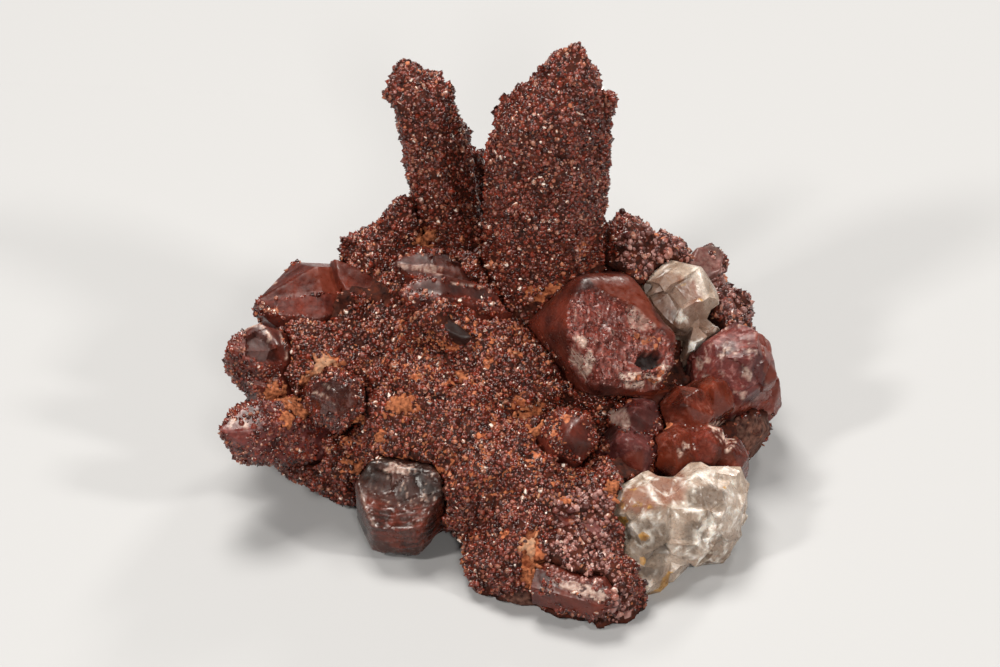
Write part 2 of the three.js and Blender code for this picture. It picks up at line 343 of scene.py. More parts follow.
def changed(mesh, kind, **settings):
    """A copy of a mesh with one modifier applied."""
    source = bpy.data.objects.new("source", mesh.copy())
    bpy.context.scene.collection.objects.link(source)
    modifier = source.modifiers.new("change", kind)
    for name, value in settings.items():
        setattr(modifier, name, value)
    bpy.context.view_layer.update()
    made = bpy.data.meshes.new_from_object(source.evaluated_get(bpy.context.evaluated_depsgraph_get()))
    bpy.data.objects.remove(source)
    made.materials.clear()
    return made


def even_mesh(mesh, grain):
    """A closed surface made even: small quads of that grain in millimetres, shaded smooth."""
    made = changed(mesh, "REMESH", mode="VOXEL", voxel_size=grain * MM)
    made.polygons.foreach_set("use_smooth", np.ones(len(made.polygons), dtype=bool))
    return made


def prism_between(near, far):
    """A closed prism between two rings of corners, in millimetres, that go round the same way."""
    count = len(near)
    faces = [tuple(range(count)), tuple(range(2 * count - 1, count - 1, -1))]
    faces += [(k, count + k, count + (k + 1) % count, (k + 1) % count) for k in range(count)]
    mesh = bpy.data.meshes.new("prism")
    mesh.from_pydata((np.concatenate([near, far]) * MM).tolist(), [], faces)
    solid = bmesh.new()
    solid.from_mesh(mesh)
    bmesh.ops.recalc_face_normals(solid, faces=solid.faces)
    bmesh.ops.triangulate(solid, faces=solid.faces)
    solid.to_mesh(mesh)
    solid.free()
    return mesh


def cut(mesh, outline, operation):
    """A closed mesh cut by a prism along the lines of sight, over an outline of places."""
    reach = 0.08
    rays = np.array([line_of_sight(*place) for place in outline])
    cutter = bpy.data.objects.new("cutter", prism_between(eye + rays * (1 - reach), eye + rays * (1 + reach)))
    bpy.context.scene.collection.objects.link(cutter)
    made = changed(mesh, "BOOLEAN", operation=operation, solver="EXACT", object=cutter)
    bpy.data.objects.remove(cutter)
    return made


def corners_of(mesh):
    corners = np.empty(len(mesh.vertices) * 3)
    mesh.vertices.foreach_get("co", corners)
    return corners.reshape(-1, 3) / MM


def normals_of(mesh):
    normals = np.empty(len(mesh.vertices) * 3, dtype=np.float32)
    mesh.vertex_normals.foreach_get("vector", normals)
    return normals.reshape(-1, 3).astype(float)


def set_corners(mesh, corners):
    corners[:, 2] = np.maximum(corners[:, 2], 0)
    mesh.vertices.foreach_set("co", (corners * MM).astype(np.float32).ravel())
    mesh.update()


def relaxed(mesh, corners, passes, share=1.0):
    """Corners drawn towards their neighbours, which rounds a shape's edges, by a share for each corner."""
    ends = np.empty(len(mesh.edges) * 2, dtype=np.int32)
    mesh.edges.foreach_get("vertices", ends)
    first, second = ends.reshape(-1, 2).T
    count = np.maximum(np.bincount(ends, minlength=len(corners)), 1)[:, None]
    pull = 0.5 * np.broadcast_to(share, len(corners))[:, None]
    for _ in range(passes):
        total = np.zeros_like(corners)
        for axis in range(3):
            total[:, axis] = np.bincount(first, corners[second, axis], len(corners))
            total[:, axis] += np.bincount(second, corners[first, axis], len(corners))
        corners = (1 - pull) * corners + pull * total / count
    return corners


def set_masks(mesh, masks):
    """Stores each mask, a number from 0 to 1 for each corner, for the materials to read."""
    for name, values in masks.items():
        mesh.attributes.new(name, "FLOAT", "POINT").data.foreach_set("value", values.astype(np.float32))


def add_piece(name, mesh, material, replaced=()):
    piece = bpy.data.objects.new(name, mesh)
    mesh.materials.append(material)
    bpy.context.scene.collection.objects.link(piece)
    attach(piece, "root")
    if replaced:
        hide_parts(*replaced)
    return piece


# Shader node groups: values that more than one material uses


class Graph:
    """Nodes of a group or a material, made and linked by short calls."""

    def __init__(self, tree):
        self.tree = tree

    def node(self, kind, values=None, **settings):
        made = self.tree.nodes.new(kind)
        for name, value in settings.items():
            setattr(made, name, value)
        for socket, value in (values or {}).items():
            self.put(made.inputs[socket], value)
        return made

    def put(self, socket, value):
        if isinstance(value, bpy.types.NodeSocket):
            self.tree.links.new(value, socket)
        else:
            socket.default_value = value

    def mask(self, name):
        return self.node("ShaderNodeAttribute", attribute_name=name).outputs["Fac"]

    def position(self):
        return self.node("ShaderNodeTexCoord").outputs["Object"]

    def noise(self, size, detail=3.0, distortion=0.0):
        """Noise with features of a size in millimetres."""
        values = {"Scale": 1 / (size * MM), "Detail": detail, "Distortion": distortion}
        values["Vector"] = self.position()
        return self.node("ShaderNodeTexNoise", values).outputs["Fac"]

    def math(self, operation, first, second=0.0, clamp=False):
        made = self.node("ShaderNodeMath", {0: first, 1: second}, operation=operation, use_clamp=clamp)
        return made.outputs[0]

    def between(self, value, low, high, to_low=0.0, to_high=1.0):
        values = {"Value": value, "From Min": low, "From Max": high, "To Min": to_low, "To Max": to_high}
        return self.node("ShaderNodeMapRange", values).outputs["Result"]

    def mix(self, share, first, second, blend="MIX"):
        made = self.node("ShaderNodeMix", data_type="RGBA", blend_type=blend)
        self.put(made.inputs[0], share)
        self.put(made.inputs[6], first)
        self.put(made.inputs[7], second)
        return made.outputs[2]


def new_group(name, inputs, outputs):
    """An empty node group with named inputs, each (kind, value), and named outputs."""
    group = bpy.data.node_groups.new(name, "ShaderNodeTree")
    for socket, (kind, value) in inputs.items():
        made = group.interface.new_socket(socket, in_out="INPUT", socket_type=kind)
        made.default_value = value
    for socket, kind in outputs.items():
        group.interface.new_socket(socket, in_out="OUTPUT", socket_type=kind)
    graph = Graph(group)
    entry = graph.node("NodeGroupInput").outputs
    leave = graph.node("NodeGroupOutput").inputs
    return group, graph, entry, leave


COLOUR, NUMBER = "NodeSocketColor", "NodeSocketFloat"
WHITE = (1, 1, 1, 1)


def make_cloudy():
    """A crystal's inner colour: deep and body tones in clouds, with thin pale veils."""
    inputs = {
        "Deep": (COLOUR, WHITE),
        "Body": (COLOUR, WHITE),
        "Veil": (COLOUR, WHITE),
        "Veil Share": (NUMBER, 0.3),
        "Cloud Size": (NUMBER, 330.0),
    }
    group, graph, entry, leave = new_group("cloudy_crystal", inputs, {"Colour": COLOUR})
    clouds = graph.node("ShaderNodeTexNoise", {"Scale": entry["Cloud Size"], "Detail": 5.0})
    graph.put(clouds.inputs["Vector"], graph.position())
    colour = graph.mix(graph.between(clouds.outputs["Fac"], 0.35, 0.68), entry["Deep"], entry["Body"])
    speck = graph.between(graph.noise(0.25, 3.0), 0.3, 0.7, 0.75, 1.2)
    colour = graph.mix(1.0, colour, speck, "MULTIPLY")
    wisps = graph.between(graph.noise(0.7, 6.0, 0.3), 0.52, 0.72)
    veil = graph.math("MULTIPLY", wisps, graph.between(graph.noise(3.0, 2.0), 0.4, 0.65), clamp=True)
    veil = graph.math("MULTIPLY", veil, entry["Veil Share"], clamp=True)
    graph.put(leave["Colour"], graph.mix(veil, colour, entry["Veil"]))
    return group


def make_stained():
    """Orange-brown iron stain laid over a colour, by a mask, broken up by noise."""
    inputs = {
        "Colour": (COLOUR, WHITE),
        "Stain": (NUMBER, 0.0),
        "Dark Stain": (COLOUR, (0.15, 0.03, 0.01, 1)),
        "Light Stain": (COLOUR, (0.48, 0.155, 0.068, 1)),
        "Grain Size": (NUMBER, 1800.0),
    }
    group, graph, entry, leave = new_group("iron_stain", inputs, {"Colour": COLOUR, "Cover": NUMBER})
    grain = graph.node("ShaderNodeTexNoise", {"Scale": entry["Grain Size"], "Detail": 3.0})
    graph.put(grain.inputs["Vector"], graph.position())
    grain = grain.outputs["Fac"]
    edge = graph.math("ADD", entry["Stain"], graph.between(grain, 0.3, 0.7, -0.35, 0.35))
    cover = graph.between(edge, 0.35, 0.6)
    stain = graph.mix(graph.between(grain, 0.35, 0.65), entry["Dark Stain"], entry["Light Stain"])
    graph.put(leave["Colour"], graph.mix(cover, entry["Colour"], stain))
    graph.put(leave["Cover"], cover)
    return group


def make_fine_relief():
    """A height for bumps: fine grain, and growth lines across a crystal by how far along it a point lies."""
    inputs = {
        "Grain": (NUMBER, 0.5),
        "Grain Size": (NUMBER, 3000.0),
        "Lines": (NUMBER, 0.0),
        "Line Count": (NUMBER, 3.0),
    }
    group, graph, entry, leave = new_group("fine_relief", inputs, {"Height": NUMBER})
    grain = graph.node("ShaderNodeTexNoise", {"Scale": entry["Grain Size"], "Detail": 4.0})
    graph.put(grain.inputs["Vector"], graph.position())
    wander = graph.noise(1.5, 2.0)
    place = graph.math("MULTIPLY", graph.mask("along"), entry["Line Count"])
    place = graph.math("ADD", place, graph.math("MULTIPLY", wander, 2.0))
    line = graph.math("PINGPONG", place, 1.0)
    height = graph.math("MULTIPLY", grain.outputs["Fac"], entry["Grain"])
    height = graph.math("ADD", height, graph.math("MULTIPLY", line, entry["Lines"]))
    graph.put(leave["Height"], height)
    return group


cloudy = make_cloudy()
stained = make_stained()
fine_relief = make_fine_relief()


# Materials

QUARTZ_IOR = 1.544


def new_material(name):
    material = bpy.data.materials.new(name)
    material.use_nodes = True
    return material, Graph(material.node_tree), material.node_tree.nodes["Principled BSDF"]


def use(graph, group, values):
    made = graph.node("ShaderNodeGroup", node_tree=group)
    for socket, value in values.items():
        graph.put(made.inputs[socket], value)
    return made.outputs


def bump(graph, shader, height, depth, strength=1.0):
    """Bumps of a depth in millimetres."""
    values = {"Height": height, "Distance": depth * MM, "Strength": strength}
    graph.put(shader.inputs["Normal"], graph.node("ShaderNodeBump", values).outputs["Normal"])


def crystal_material(name, deep, body, veil, *, veils=0.15, roughness=0.2, glow=0.12, lines=0.2, clear=0.0):
    """A glossy crystal. Masks on its mesh: glow, fresh (broken), pale, rust, dark, and along for growth lines."""
    material, graph, shader = new_material(name)
    inner = use(graph, cloudy, {"Deep": deep, "Body": body, "Veil": veil, "Veil Share": veils})
    warm = graph.mix(graph.noise(0.9, 4.0), (0.07, 0.01, 0.005, 1), (0.22, 0.036, 0.013, 1))
    colour = graph.mix(graph.mask("glow"), inner["Colour"], warm)
    spread = graph.between(graph.noise(0.4, 4.0), 0.3, 0.7)
    broken = graph.mix(spread, (0.06, 0.008, 0.006, 1), (0.27, 0.055, 0.038, 1))
    colour = graph.mix(graph.mask("fresh"), colour, broken)
    pale = graph.mix(graph.between(graph.noise(0.5, 4.0), 0.3, 0.7), (0.22, 0.1, 0.075, 1), (0.75, 0.58, 0.49, 1))
    # The pale mask is partly painted reflections and glints, on left_stub, small_crystal, left_point, left_crystal and
    # red_crystals, and partly pale stone and veils.
    colour = graph.mix(graph.mask("pale"), colour, pale)
    stain = use(graph, stained, {"Colour": colour, "Stain": graph.mask("rust")})
    # The dark mask darkens the colour: painted shade in the hole and chip creases of the broken face and in the sunken
    # face of left_stub, and darker faces elsewhere.
    dark = graph.mix(graph.mask("dark"), stain["Colour"], (0.016, 0.007, 0.006, 1))
    graph.put(shader.inputs["Base Color"], dark)
    worn = graph.between(graph.noise(0.9, 4.0), 0.3, 0.75, roughness * 0.7, roughness * 1.7)
    worn = graph.math("ADD", worn, graph.math("MULTIPLY", stain["Cover"], 0.5))
    worn = graph.math("ADD", worn, graph.math("MULTIPLY", graph.mask("dark"), 0.25), clamp=True)
    graph.put(shader.inputs["Roughness"], worn)
    shader.inputs["IOR"].default_value = QUARTZ_IOR
    shader.inputs["Specular IOR Level"].default_value = 0.3
    shader.inputs["Subsurface Weight"].default_value = glow
    shader.inputs["Subsurface Radius"].default_value = (1.0, 0.25, 0.12)
    shader.inputs["Subsurface Scale"].default_value = 1.2 * MM
    shader.inputs["Transmission Weight"].default_value = clear
    relief = use(graph, fine_relief, {"Grain": 0.5, "Grain Size": 2200.0, "Lines": lines, "Line Count": 2.4})
    bump(graph, shader, relief["Height"], 0.07, 0.8)
    return material


def druse_material(name, deep, body, light, painted_glint):
    """Small crystals. Masks: tone and polish, a number for each crystal, and rust and pale in patches."""
    material, graph, shader = new_material(name)
    tone = graph.mask("tone")
    colour = graph.mix(graph.between(tone, 0.1, 0.7), deep, body)
    colour = graph.mix(graph.between(tone, 0.74, 0.96), colour, light)
    # The brightest few tones are near white: painted glints on the small crystals.
    colour = graph.mix(graph.between(tone, 0.965, 0.995), colour, painted_glint)
    clouds = graph.between(graph.noise(0.3, 2.0), 0.3, 0.7, 0.5, 1.3)
    colour = graph.mix(1.0, colour, clouds, "MULTIPLY")
    pale = graph.mix(tone, (0.08, 0.016, 0.014, 1), (0.46, 0.25, 0.22, 1))
    colour = graph.mix(graph.mask("pale"), colour, pale)
    stain = use(graph, stained, {"Colour": colour, "Stain": graph.mask("rust")})
    graph.put(shader.inputs["Base Color"], stain["Colour"])
    worn = graph.between(graph.mask("polish"), 0.0, 1.0, 0.34, 0.05)
    worn = graph.math("ADD", worn, graph.math("MULTIPLY", stain["Cover"], 0.45), clamp=True)
    graph.put(shader.inputs["Roughness"], worn)
    shader.inputs["IOR"].default_value = QUARTZ_IOR
    shader.inputs["Specular IOR Level"].default_value = 0.5
    return material


def rock_material():
    """The rock between the crystals: dark red-brown, stained orange in patches and threads."""
    material, graph, shader = new_material("stained_rock")
    spread = graph.between(graph.noise(0.8, 5.0), 0.3, 0.7)
    tone = graph.mix(spread, (0.012, 0.004, 0.003, 1), (0.085, 0.018, 0.009, 1))
    pale = graph.mix(graph.between(graph.noise(0.6, 5.0), 0.35, 0.65), (0.04, 0.014, 0.011, 1), (0.3, 0.15, 0.11, 1))
    colour = graph.mix(graph.mask("pale"), tone, pale)
    stain = use(graph, stained, {"Colour": colour, "Stain": graph.mask("rust")})
    # The dark mask paints shade into the rock's hollows and creases.
    dark = graph.mix(graph.mask("dark"), stain["Colour"], (0.012, 0.006, 0.005, 1))
    graph.put(shader.inputs["Base Color"], dark)
    graph.put(shader.inputs["Roughness"], graph.between(graph.noise(0.8, 3.0), 0.3, 0.7, 0.6, 0.95))
    shader.inputs["IOR"].default_value = QUARTZ_IOR
    shader.inputs["Specular IOR Level"].default_value = 0.12
    relief = use(graph, fine_relief, {"Grain": 1.0, "Grain Size": 1800.0})
    bump(graph, shader, relief["Height"], 0.2)
    return material


def pale_material():
    """Milky, half-clear quartz, with white cracks, warm grey windows and yellow and red stains."""
    material, graph, shader = new_material("pale_quartz")
    values = {"Deep": (0.3, 0.21, 0.155, 1), "Body": (0.62, 0.5, 0.41, 1), "Veil": (0.98, 0.93, 0.87, 1)}
    inner = use(graph, cloudy, {**values, "Veil Share": 0.75})
    red = graph.mix(graph.noise(0.8, 4.0), (0.14, 0.04, 0.022, 1), (0.42, 0.2, 0.13, 1))
    colour = graph.mix(graph.mask("fresh"), inner["Colour"], red)
    grey = graph.mix(graph.noise(0.5, 5.0), (0.05, 0.034, 0.025, 1), (0.27, 0.2, 0.15, 1))
    colour = graph.mix(graph.mask("dark"), colour, grey)
    white = graph.mix(graph.between(graph.noise(0.35, 4.0), 0.3, 0.6), (0.7, 0.6, 0.5, 1), (1.0, 0.97, 0.92, 1))
    colour = graph.mix(graph.mask("pale"), colour, white)
    light = {"Dark Stain": (0.22, 0.1, 0.022, 1), "Light Stain": (0.48, 0.26, 0.08, 1)}
    stain = use(graph, stained, {"Colour": colour, "Stain": graph.mask("rust"), **light, "Grain Size": 900.0})
    graph.put(shader.inputs["Base Color"], stain["Colour"])
    graph.put(shader.inputs["Roughness"], graph.between(graph.noise(0.6, 4.0), 0.3, 0.7, 0.16, 0.5))
    shader.inputs["IOR"].default_value = QUARTZ_IOR
    shader.inputs["Specular IOR Level"].default_value = 0.35
    shader.inputs["Subsurface Weight"].default_value = 0.25
    shader.inputs["Subsurface Radius"].default_value = (1.0, 0.7, 0.5)
    shader.inputs["Subsurface Scale"].default_value = MM
    shader.inputs["Transmission Weight"].default_value = 0.22
    relief = use(graph, fine_relief, {"Grain": 1.0, "Grain Size": 900.0})
    bump(graph, shader, relief["Height"], 0.08)
    return material


def crumb_material():
    """Earthy orange iron oxide."""
    material, graph, shader = new_material("iron_crust")
    spread = graph.between(graph.noise(0.45, 5.0), 0.3, 0.7)
    colour = graph.mix(spread, (0.08, 0.018, 0.008, 1), (0.46, 0.155, 0.066, 1))
    pale = graph.mix(graph.noise(0.4, 4.0), (0.42, 0.2, 0.1, 1), (0.85, 0.66, 0.46, 1))
    graph.put(shader.inputs["Base Color"], graph.mix(graph.mask("pale"), colour, pale))
    graph.put(shader.inputs["Roughness"], graph.between(graph.noise(0.5, 3.0), 0.3, 0.7, 0.6, 0.95))
    shader.inputs["Specular IOR Level"].default_value = 0.15
    relief = use(graph, fine_relief, {"Grain": 1.0, "Grain Size": 2400.0})
    bump(graph, shader, relief["Height"], 0.15)
    return material


red_quartz = crystal_material(
    "red_quartz", (0.035, 0.007, 0.005, 1), (0.12, 0.02, 0.011, 1), (0.3, 0.1, 0.075, 1), roughness=0.32
)
bright_quartz = crystal_material(
    "bright_quartz", (0.04, 0.008, 0.005, 1), (0.15, 0.026, 0.013, 1), (0.42, 0.17, 0.13, 1),
    veils=0.4, roughness=0.2, glow=0.2
)
purple_quartz = crystal_material(
    "purple_quartz", (0.035, 0.009, 0.009, 1), (0.15, 0.035, 0.031, 1), (0.5, 0.26, 0.24, 1), veils=0.6, roughness=0.3
)
smoky_quartz = crystal_material(
    "smoky_quartz", (0.02, 0.011, 0.009, 1), (0.075, 0.024, 0.017, 1), (0.3, 0.23, 0.2, 1), veils=0.4, roughness=0.22
)
glassy_quartz = crystal_material(
    "glassy_quartz", (0.05, 0.015, 0.012, 1), (0.15, 0.045, 0.034, 1), (0.5, 0.36, 0.34, 1),
    veils=0.5, roughness=0.1, clear=0.35
)
pale_quartz = pale_material()
stained_rock = rock_material()
iron_crust = crumb_material()
red_druse = druse_material(
    "red_druse", (0.035, 0.006, 0.004, 1), (0.18, 0.024, 0.011, 1), (0.31, 0.125, 0.075, 1), (0.8, 0.68, 0.6, 1)
)
pink_druse = druse_material(
    "pink_druse", (0.06, 0.008, 0.006, 1), (0.22, 0.034, 0.022, 1), (0.38, 0.13, 0.1, 1), (0.8, 0.66, 0.6, 1)
)


# Outlines in the front view

UPRIGHT_OUTLINE = [
    (575, 41), (581, 46), (588, 60), (596, 69), (602, 84), (608, 92), (617, 99), (616, 122), (611, 135), (609, 166),
    (612, 180), (608, 190), (609, 224), (640, 236), (760, 250), (760, 480), (260, 480), (260, 262), (335, 252),
    (352, 238), (372, 225), (386, 218), (391, 207), (398, 200), (412, 190), (409, 181), (402, 170), (399, 158),
    (404, 148), (398, 133), (396, 121), (394, 110), (388, 105), (386, 96), (391, 77), (394, 64), (399, 56),
    (413, 60), (434, 65), (437, 73), (446, 76), (452, 88), (452, 99), (457, 108), (462, 124), (469, 127),
    (471, 141), (475, 152), (480, 151), (485, 143), (491, 134), (494, 126), (493, 110), (499, 103), (500, 94),
    (506, 91), (517, 85), (524, 76), (534, 66), (546, 62), (551, 54), (568, 48),
]
SHOULDER_CUT = [
    (330, 170), (414, 170), (412, 190), (398, 200), (391, 207), (386, 218), (372, 225), (352, 238), (338, 236),
]
ABOVE_ARCH = [
    (505, 312), (524, 309), (533, 299), (545, 290), (570, 278), (594, 268), (616, 264), (634, 276), (647, 295),
    (659, 316), (668, 328), (700, 300), (660, 230), (560, 230), (505, 290),
]
RIGHT_FACES = [
    (700, 345), (712, 372), (735, 335), (752, 318), (770, 336), (783, 395), (782, 415), (734, 415),
    (722, 372), (706, 372),
]
RED_FACES = [
    (653, 446), (660, 436), (672, 424), (680, 396), (699, 386), (714, 372), (726, 372), (735, 413), (738, 440),
    (742, 470), (700, 470), (655, 470),
]
LEFT_UPPER_FACE = [
    (258, 301), (270, 282), (286, 268), (313, 256), (332, 256), (356, 267), (374, 277), (388, 288), (393, 305),
    (381, 301), (364, 296), (348, 292),
]
LEFT_LOWER_FACE = [(258, 301), (348, 292), (354, 300), (344, 314), (331, 317), (304, 315), (280, 309)]
REAR_UPPER_FACE = [(394, 263), (410, 255), (448, 255), (472, 280), (474, 286), (440, 279), (428, 275), (404, 271)]
REAR_BAND = [(395, 263), (412, 265), (431, 264), (444, 268), (442, 276), (424, 272), (402, 269)]
REAR_LOWER_FACE = [(409, 285), (430, 280), (447, 284), (466, 286), (486, 288), (494, 296), (480, 298), (446, 293), (418, 292)]
DARK_FACE = [(431, 315), (443, 314), (461, 325), (473, 337), (464, 339), (450, 332), (435, 321)]
# The stub's sunken face, painted dark as painted shade, and below it the lines of its painted reflections: white arcs
# and a white strip along an edge.
STUB_DARK = [(247, 337), (256, 331), (268, 340), (277, 352), (280, 361), (262, 363), (246, 356)]
STUB_REFLECTION_ARC = [([(246, 331), (253, 325), (262, 326), (268, 334), (270, 339)], 0.42)]
STUB_REFLECTION_STRIP = [([(268, 313), (276, 328), (283, 344), (286, 358)], 0.4)]
STUB_FACES = [(244, 334), (252, 323), (265, 314), (273, 316), (284, 340), (288, 362), (262, 365), (246, 358)]
SMALL_FACES = [(312, 392), (322, 382), (340, 380), (354, 391), (357, 403), (346, 412), (330, 415), (314, 405)]
BROKEN_ALL = [
    (523, 309), (545, 289), (570, 277), (594, 267), (617, 263), (635, 276), (647, 294), (659, 315), (698, 358),
    (692, 376), (678, 389), (627, 389), (590, 392), (574, 374), (560, 350), (545, 338), (530, 324),
]
BROKEN_INNER = [
    (568, 307), (572, 299), (581, 291), (592, 288), (601, 290), (611, 296), (621, 299), (628, 303), (642, 315),
    (658, 327), (671, 343), (690, 352), (694, 360), (688, 380), (667, 387), (644, 391), (626, 388), (600, 383),
    (581, 382), (569, 360), (567, 335),
]
BROKEN_PALE = [(572, 333), (587, 335), (589, 348), (596, 358), (590, 371), (583, 381), (576, 371), (569, 360), (570, 346)]
BROKEN_GREY = [(629, 304), (639, 310), (658, 326), (646, 328), (633, 326), (631, 315)]
BROKEN_ORANGE = [(628, 331), (635, 330), (662, 335), (667, 342), (646, 353), (642, 342), (633, 335)]
BROKEN_HOLE = [(642, 351), (662, 349), (666, 357), (656, 367), (646, 371), (639, 362)]
BROKEN_WHITE = [(621, 373), (639, 372), (654, 371), (662, 362), (674, 365), (679, 376), (671, 385), (646, 390), (626, 388)]
BROKEN_UNDER = [(625, 390), (645, 392), (668, 389), (686, 385), (684, 398), (672, 405), (655, 411), (635, 405)]
RIDGE_ALL = [
    (640, 288), (655, 277), (664, 271), (684, 277), (701, 300), (713, 333), (724, 372), (690, 389), (686, 372),
    (672, 350), (655, 330),
]
RIDGE_RED = [(648, 304), (660, 292), (670, 300), (678, 318), (676, 340), (662, 335), (655, 318)]
RIDGE_YELLOW = [(692, 346), (704, 340), (716, 356), (722, 372), (706, 374), (691, 387), (689, 372), (696, 362)]
POCKET_FACE = [(602, 420), (625, 433), (650, 434), (652, 455), (650, 471), (640, 479), (628, 484), (616, 470), (606, 446)]
POCKET_GREY = [(607, 412), (618, 410), (626, 405), (640, 407), (659, 412), (655, 423), (650, 432), (628, 431), (614, 424)]
ROUND_FACE = [(562, 420), (574, 416), (588, 428), (590, 448), (580, 460), (566, 450)]
STUB_TOP = [
    (361, 493), (375, 461), (392, 455), (417, 455), (436, 468), (448, 491), (444, 541), (421, 549),
    (402, 553), (377, 537), (357, 512),
]
FRONT_STRIP = [
    (553, 580), (570, 581), (590, 585), (607, 592), (609, 598), (603, 603), (592, 600), (575, 593), (560, 587),
]
FRONT_RED = [(552, 587), (565, 590), (595, 602), (604, 605), (600, 612), (588, 614), (570, 609), (557, 603)]
POINT_TIP = [(221, 428), (232, 420), (248, 424), (252, 436), (240, 444), (228, 440)]
PALE_RIGHT = [(735, 415), (782, 418), (772, 432), (758, 452), (751, 486), (740, 487), (733, 464), (736, 440)]
NOSE_EDGE = [(520, 592), (556, 596), (556, 609), (520, 607), (503, 601)]
NOSE_STAIN = [(521, 556), (524, 540), (527, 526), (534, 529), (541, 545), (546, 570), (543, 587), (530, 590), (521, 580)]
UPPER_RIGHT = [
    (612, 234), (640, 226), (680, 232), (705, 250), (726, 262), (730, 290), (716, 302), (700, 272), (664, 269),
    (640, 276), (620, 262),
]
FAR_RIGHT = [(722, 282), (754, 286), (757, 323), (736, 318), (716, 300)]
NOSE_RIGHT = [
    (550, 495), (600, 486), (616, 498), (606, 520), (612, 560), (625, 588), (640, 603), (615, 632), (592, 622),
    (614, 600), (602, 586), (556, 578), (546, 560), (560, 530),
]

BARE_OUTLINES = [
    LEFT_UPPER_FACE, LEFT_LOWER_FACE, REAR_UPPER_FACE, REAR_LOWER_FACE, DARK_FACE, STUB_FACES, SMALL_FACES,
    BROKEN_ALL, RIDGE_ALL, POCKET_FACE, POCKET_GREY, ROUND_FACE, STUB_TOP, FRONT_STRIP, FRONT_RED, POINT_TIP,
    PALE_RIGHT, NOSE_EDGE, NOSE_STAIN, BROKEN_UNDER, RIGHT_FACES, RED_FACES,
]
COARSE_OUTLINES = [UPPER_RIGHT, FAR_RIGHT, NOSE_RIGHT]

# Stains in the front view, as (across, down, radius in millimetres)

ORANGE_SPOTS = [
    (528, 418, 1.7), (516, 402, 1.0), (535, 432, 1.0), (462, 376, 0.9), (455, 385, 0.8), (490, 362, 0.8),
    (516, 355, 0.8), (400, 405, 1.6), (282, 400, 2.4), (296, 412, 1.5), (357, 466, 0.9), (378, 438, 0.9),
    (425, 238, 1.4), (463, 240, 0.6), (326, 366, 1.6), (440, 470, 0.7), (474, 452, 0.8), (480, 436, 0.6),
    (565, 500, 0.8), (505, 533, 0.6), (590, 470, 0.7), (612, 486, 0.9), (372, 330, 0.6), (452, 345, 0.6),
]
PALE_STAINS = [(585, 250, 1.6), (533, 296, 1.2), (322, 366, 1.2), (552, 290, 0.8)]
THREAD_AREA = [
    (330, 330), (400, 320), (470, 300), (540, 330), (570, 390), (600, 480), (560, 500), (440, 500), (330, 480),
]
# Hollows, as lines of places with a radius in millimetres: the rock is sunk along them and painted dark there, as
# painted shade.
SHADED_HOLLOW_LINES = [
    ([(391, 388), (418, 393), (446, 397)], 0.9),
    ([(446, 397), (460, 381), (476, 361)], 0.55),
    ([(546, 412), (544, 438)], 0.6),
    ([(452, 515), (458, 550)], 1.0),
]


def rust_of(surface):
    """Orange stain: named spots, and threads between the grains, thickest over the middle of the front."""
    value = 0.9 * surface.spots(ORANGE_SPOTS, ragged=0.7, size=0.8)
    area = 0.3 + 0.7 * surface.region(THREAD_AREA, ragged=12, size=5, edge=20)
    area = area * ramp(rough(surface.points, 5.0, 40, 2), -0.8, 0.2)
    low = ramp(30 - surface.points[:, 2], 0, 6)
    return np.maximum(value, threads(surface.points, 1.3, 44, 0.22) * area * (0.2 + 0.8 * low))


# The rock

ROCK_GRAIN = 0.5
ROCK_SWELL = 0.02  # how far the rock stands out over the solids' seat gaps
FLAT_MARGIN = 0.6  # the height up to which the underside stays a broken flat


def build_rock():
    mesh = cut(even_mesh(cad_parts[ROCK].data, ROCK_GRAIN), SHOULDER_CUT, "DIFFERENCE")
    mesh = even_mesh(mesh, ROCK_GRAIN)
    corners = corners_of(mesh)
    normals = normals_of(mesh)
    surface = Surface(corners)
    block, block_edge = chips(corners, 3.0, 11)
    lump = rough(corners, 3.6, 5, 3)
    hollow = surface.lines(SHADED_HOLLOW_LINES)
    rust = rust_of(surface)
    bare = surface.regions([DARK_FACE, PALE_RIGHT, NOSE_EDGE])
    step = ROCK_SWELL + (0.5 * block - 0.15 * block_edge + 0.35 * lump) * (1 - 0.7 * bare)
    step += 0.12 * rust - 0.9 * hollow
    side = ramp(corners[:, 2], 0, FLAT_MARGIN)
    underneath = (0.12 * waves(corners, 2.0, 8) + 0.12) * (1 - side)
    moved = corners + normals * (step * side)[:, None]
    moved[:, 2] += underneath
    set_corners(mesh, moved)
    pale = 0.55 * surface.regions([PALE_RIGHT, NOSE_EDGE])
    # The dark mask is painted shade: dark along the hollows and in the creases between the chips.
    dark = np.maximum(ramp(hollow, 0.3, 0.9), 0.5 * block_edge * (1 - rust))
    rust = np.maximum(rust, 0.9 * surface.region(NOSE_STAIN))
    set_masks(mesh, {"rust": rust, "pale": pale, "dark": dark})
    add_piece("matrix_rock", mesh, stained_rock, [ROCK])
    return mesh


# The upright pair under its druse

UPRIGHT_GRAIN = 0.45


def build_uprights():
    mesh = even_mesh(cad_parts["upright_crystals"].data, UPRIGHT_GRAIN)
    mesh = even_mesh(cut(mesh, UPRIGHT_OUTLINE, "INTERSECT"), UPRIGHT_GRAIN)
    corners = corners_of(mesh)
    normals = normals_of(mesh)
    surface = Surface(corners)
    step = 0.16 * rough(corners, 1.6, 21, 3) + 0.26 * rough(corners, 4.0, 25, 2) - 0.3
    step += 0.7 * surface.spots([(444, 84, 2.2), (438, 74, 1.6), (611, 104, 1.5), (386, 96, 1.0)], ragged=0.3)
    set_corners(mesh, corners + normals * step[:, None])
    rust = np.maximum(rust_of(surface), surface.spots(PALE_STAINS))
    set_masks(mesh, {"rust": rust})
    add_piece("upright_core", mesh, stained_rock, ["upright_crystals"])
    return mesh


# Druse: small six-sided crystals, sunk in the surface that they coat

SIDES = 6
LONG_SHARE = 0.22  # the share of the small crystals that show their sides
SHOULDER = 0.6


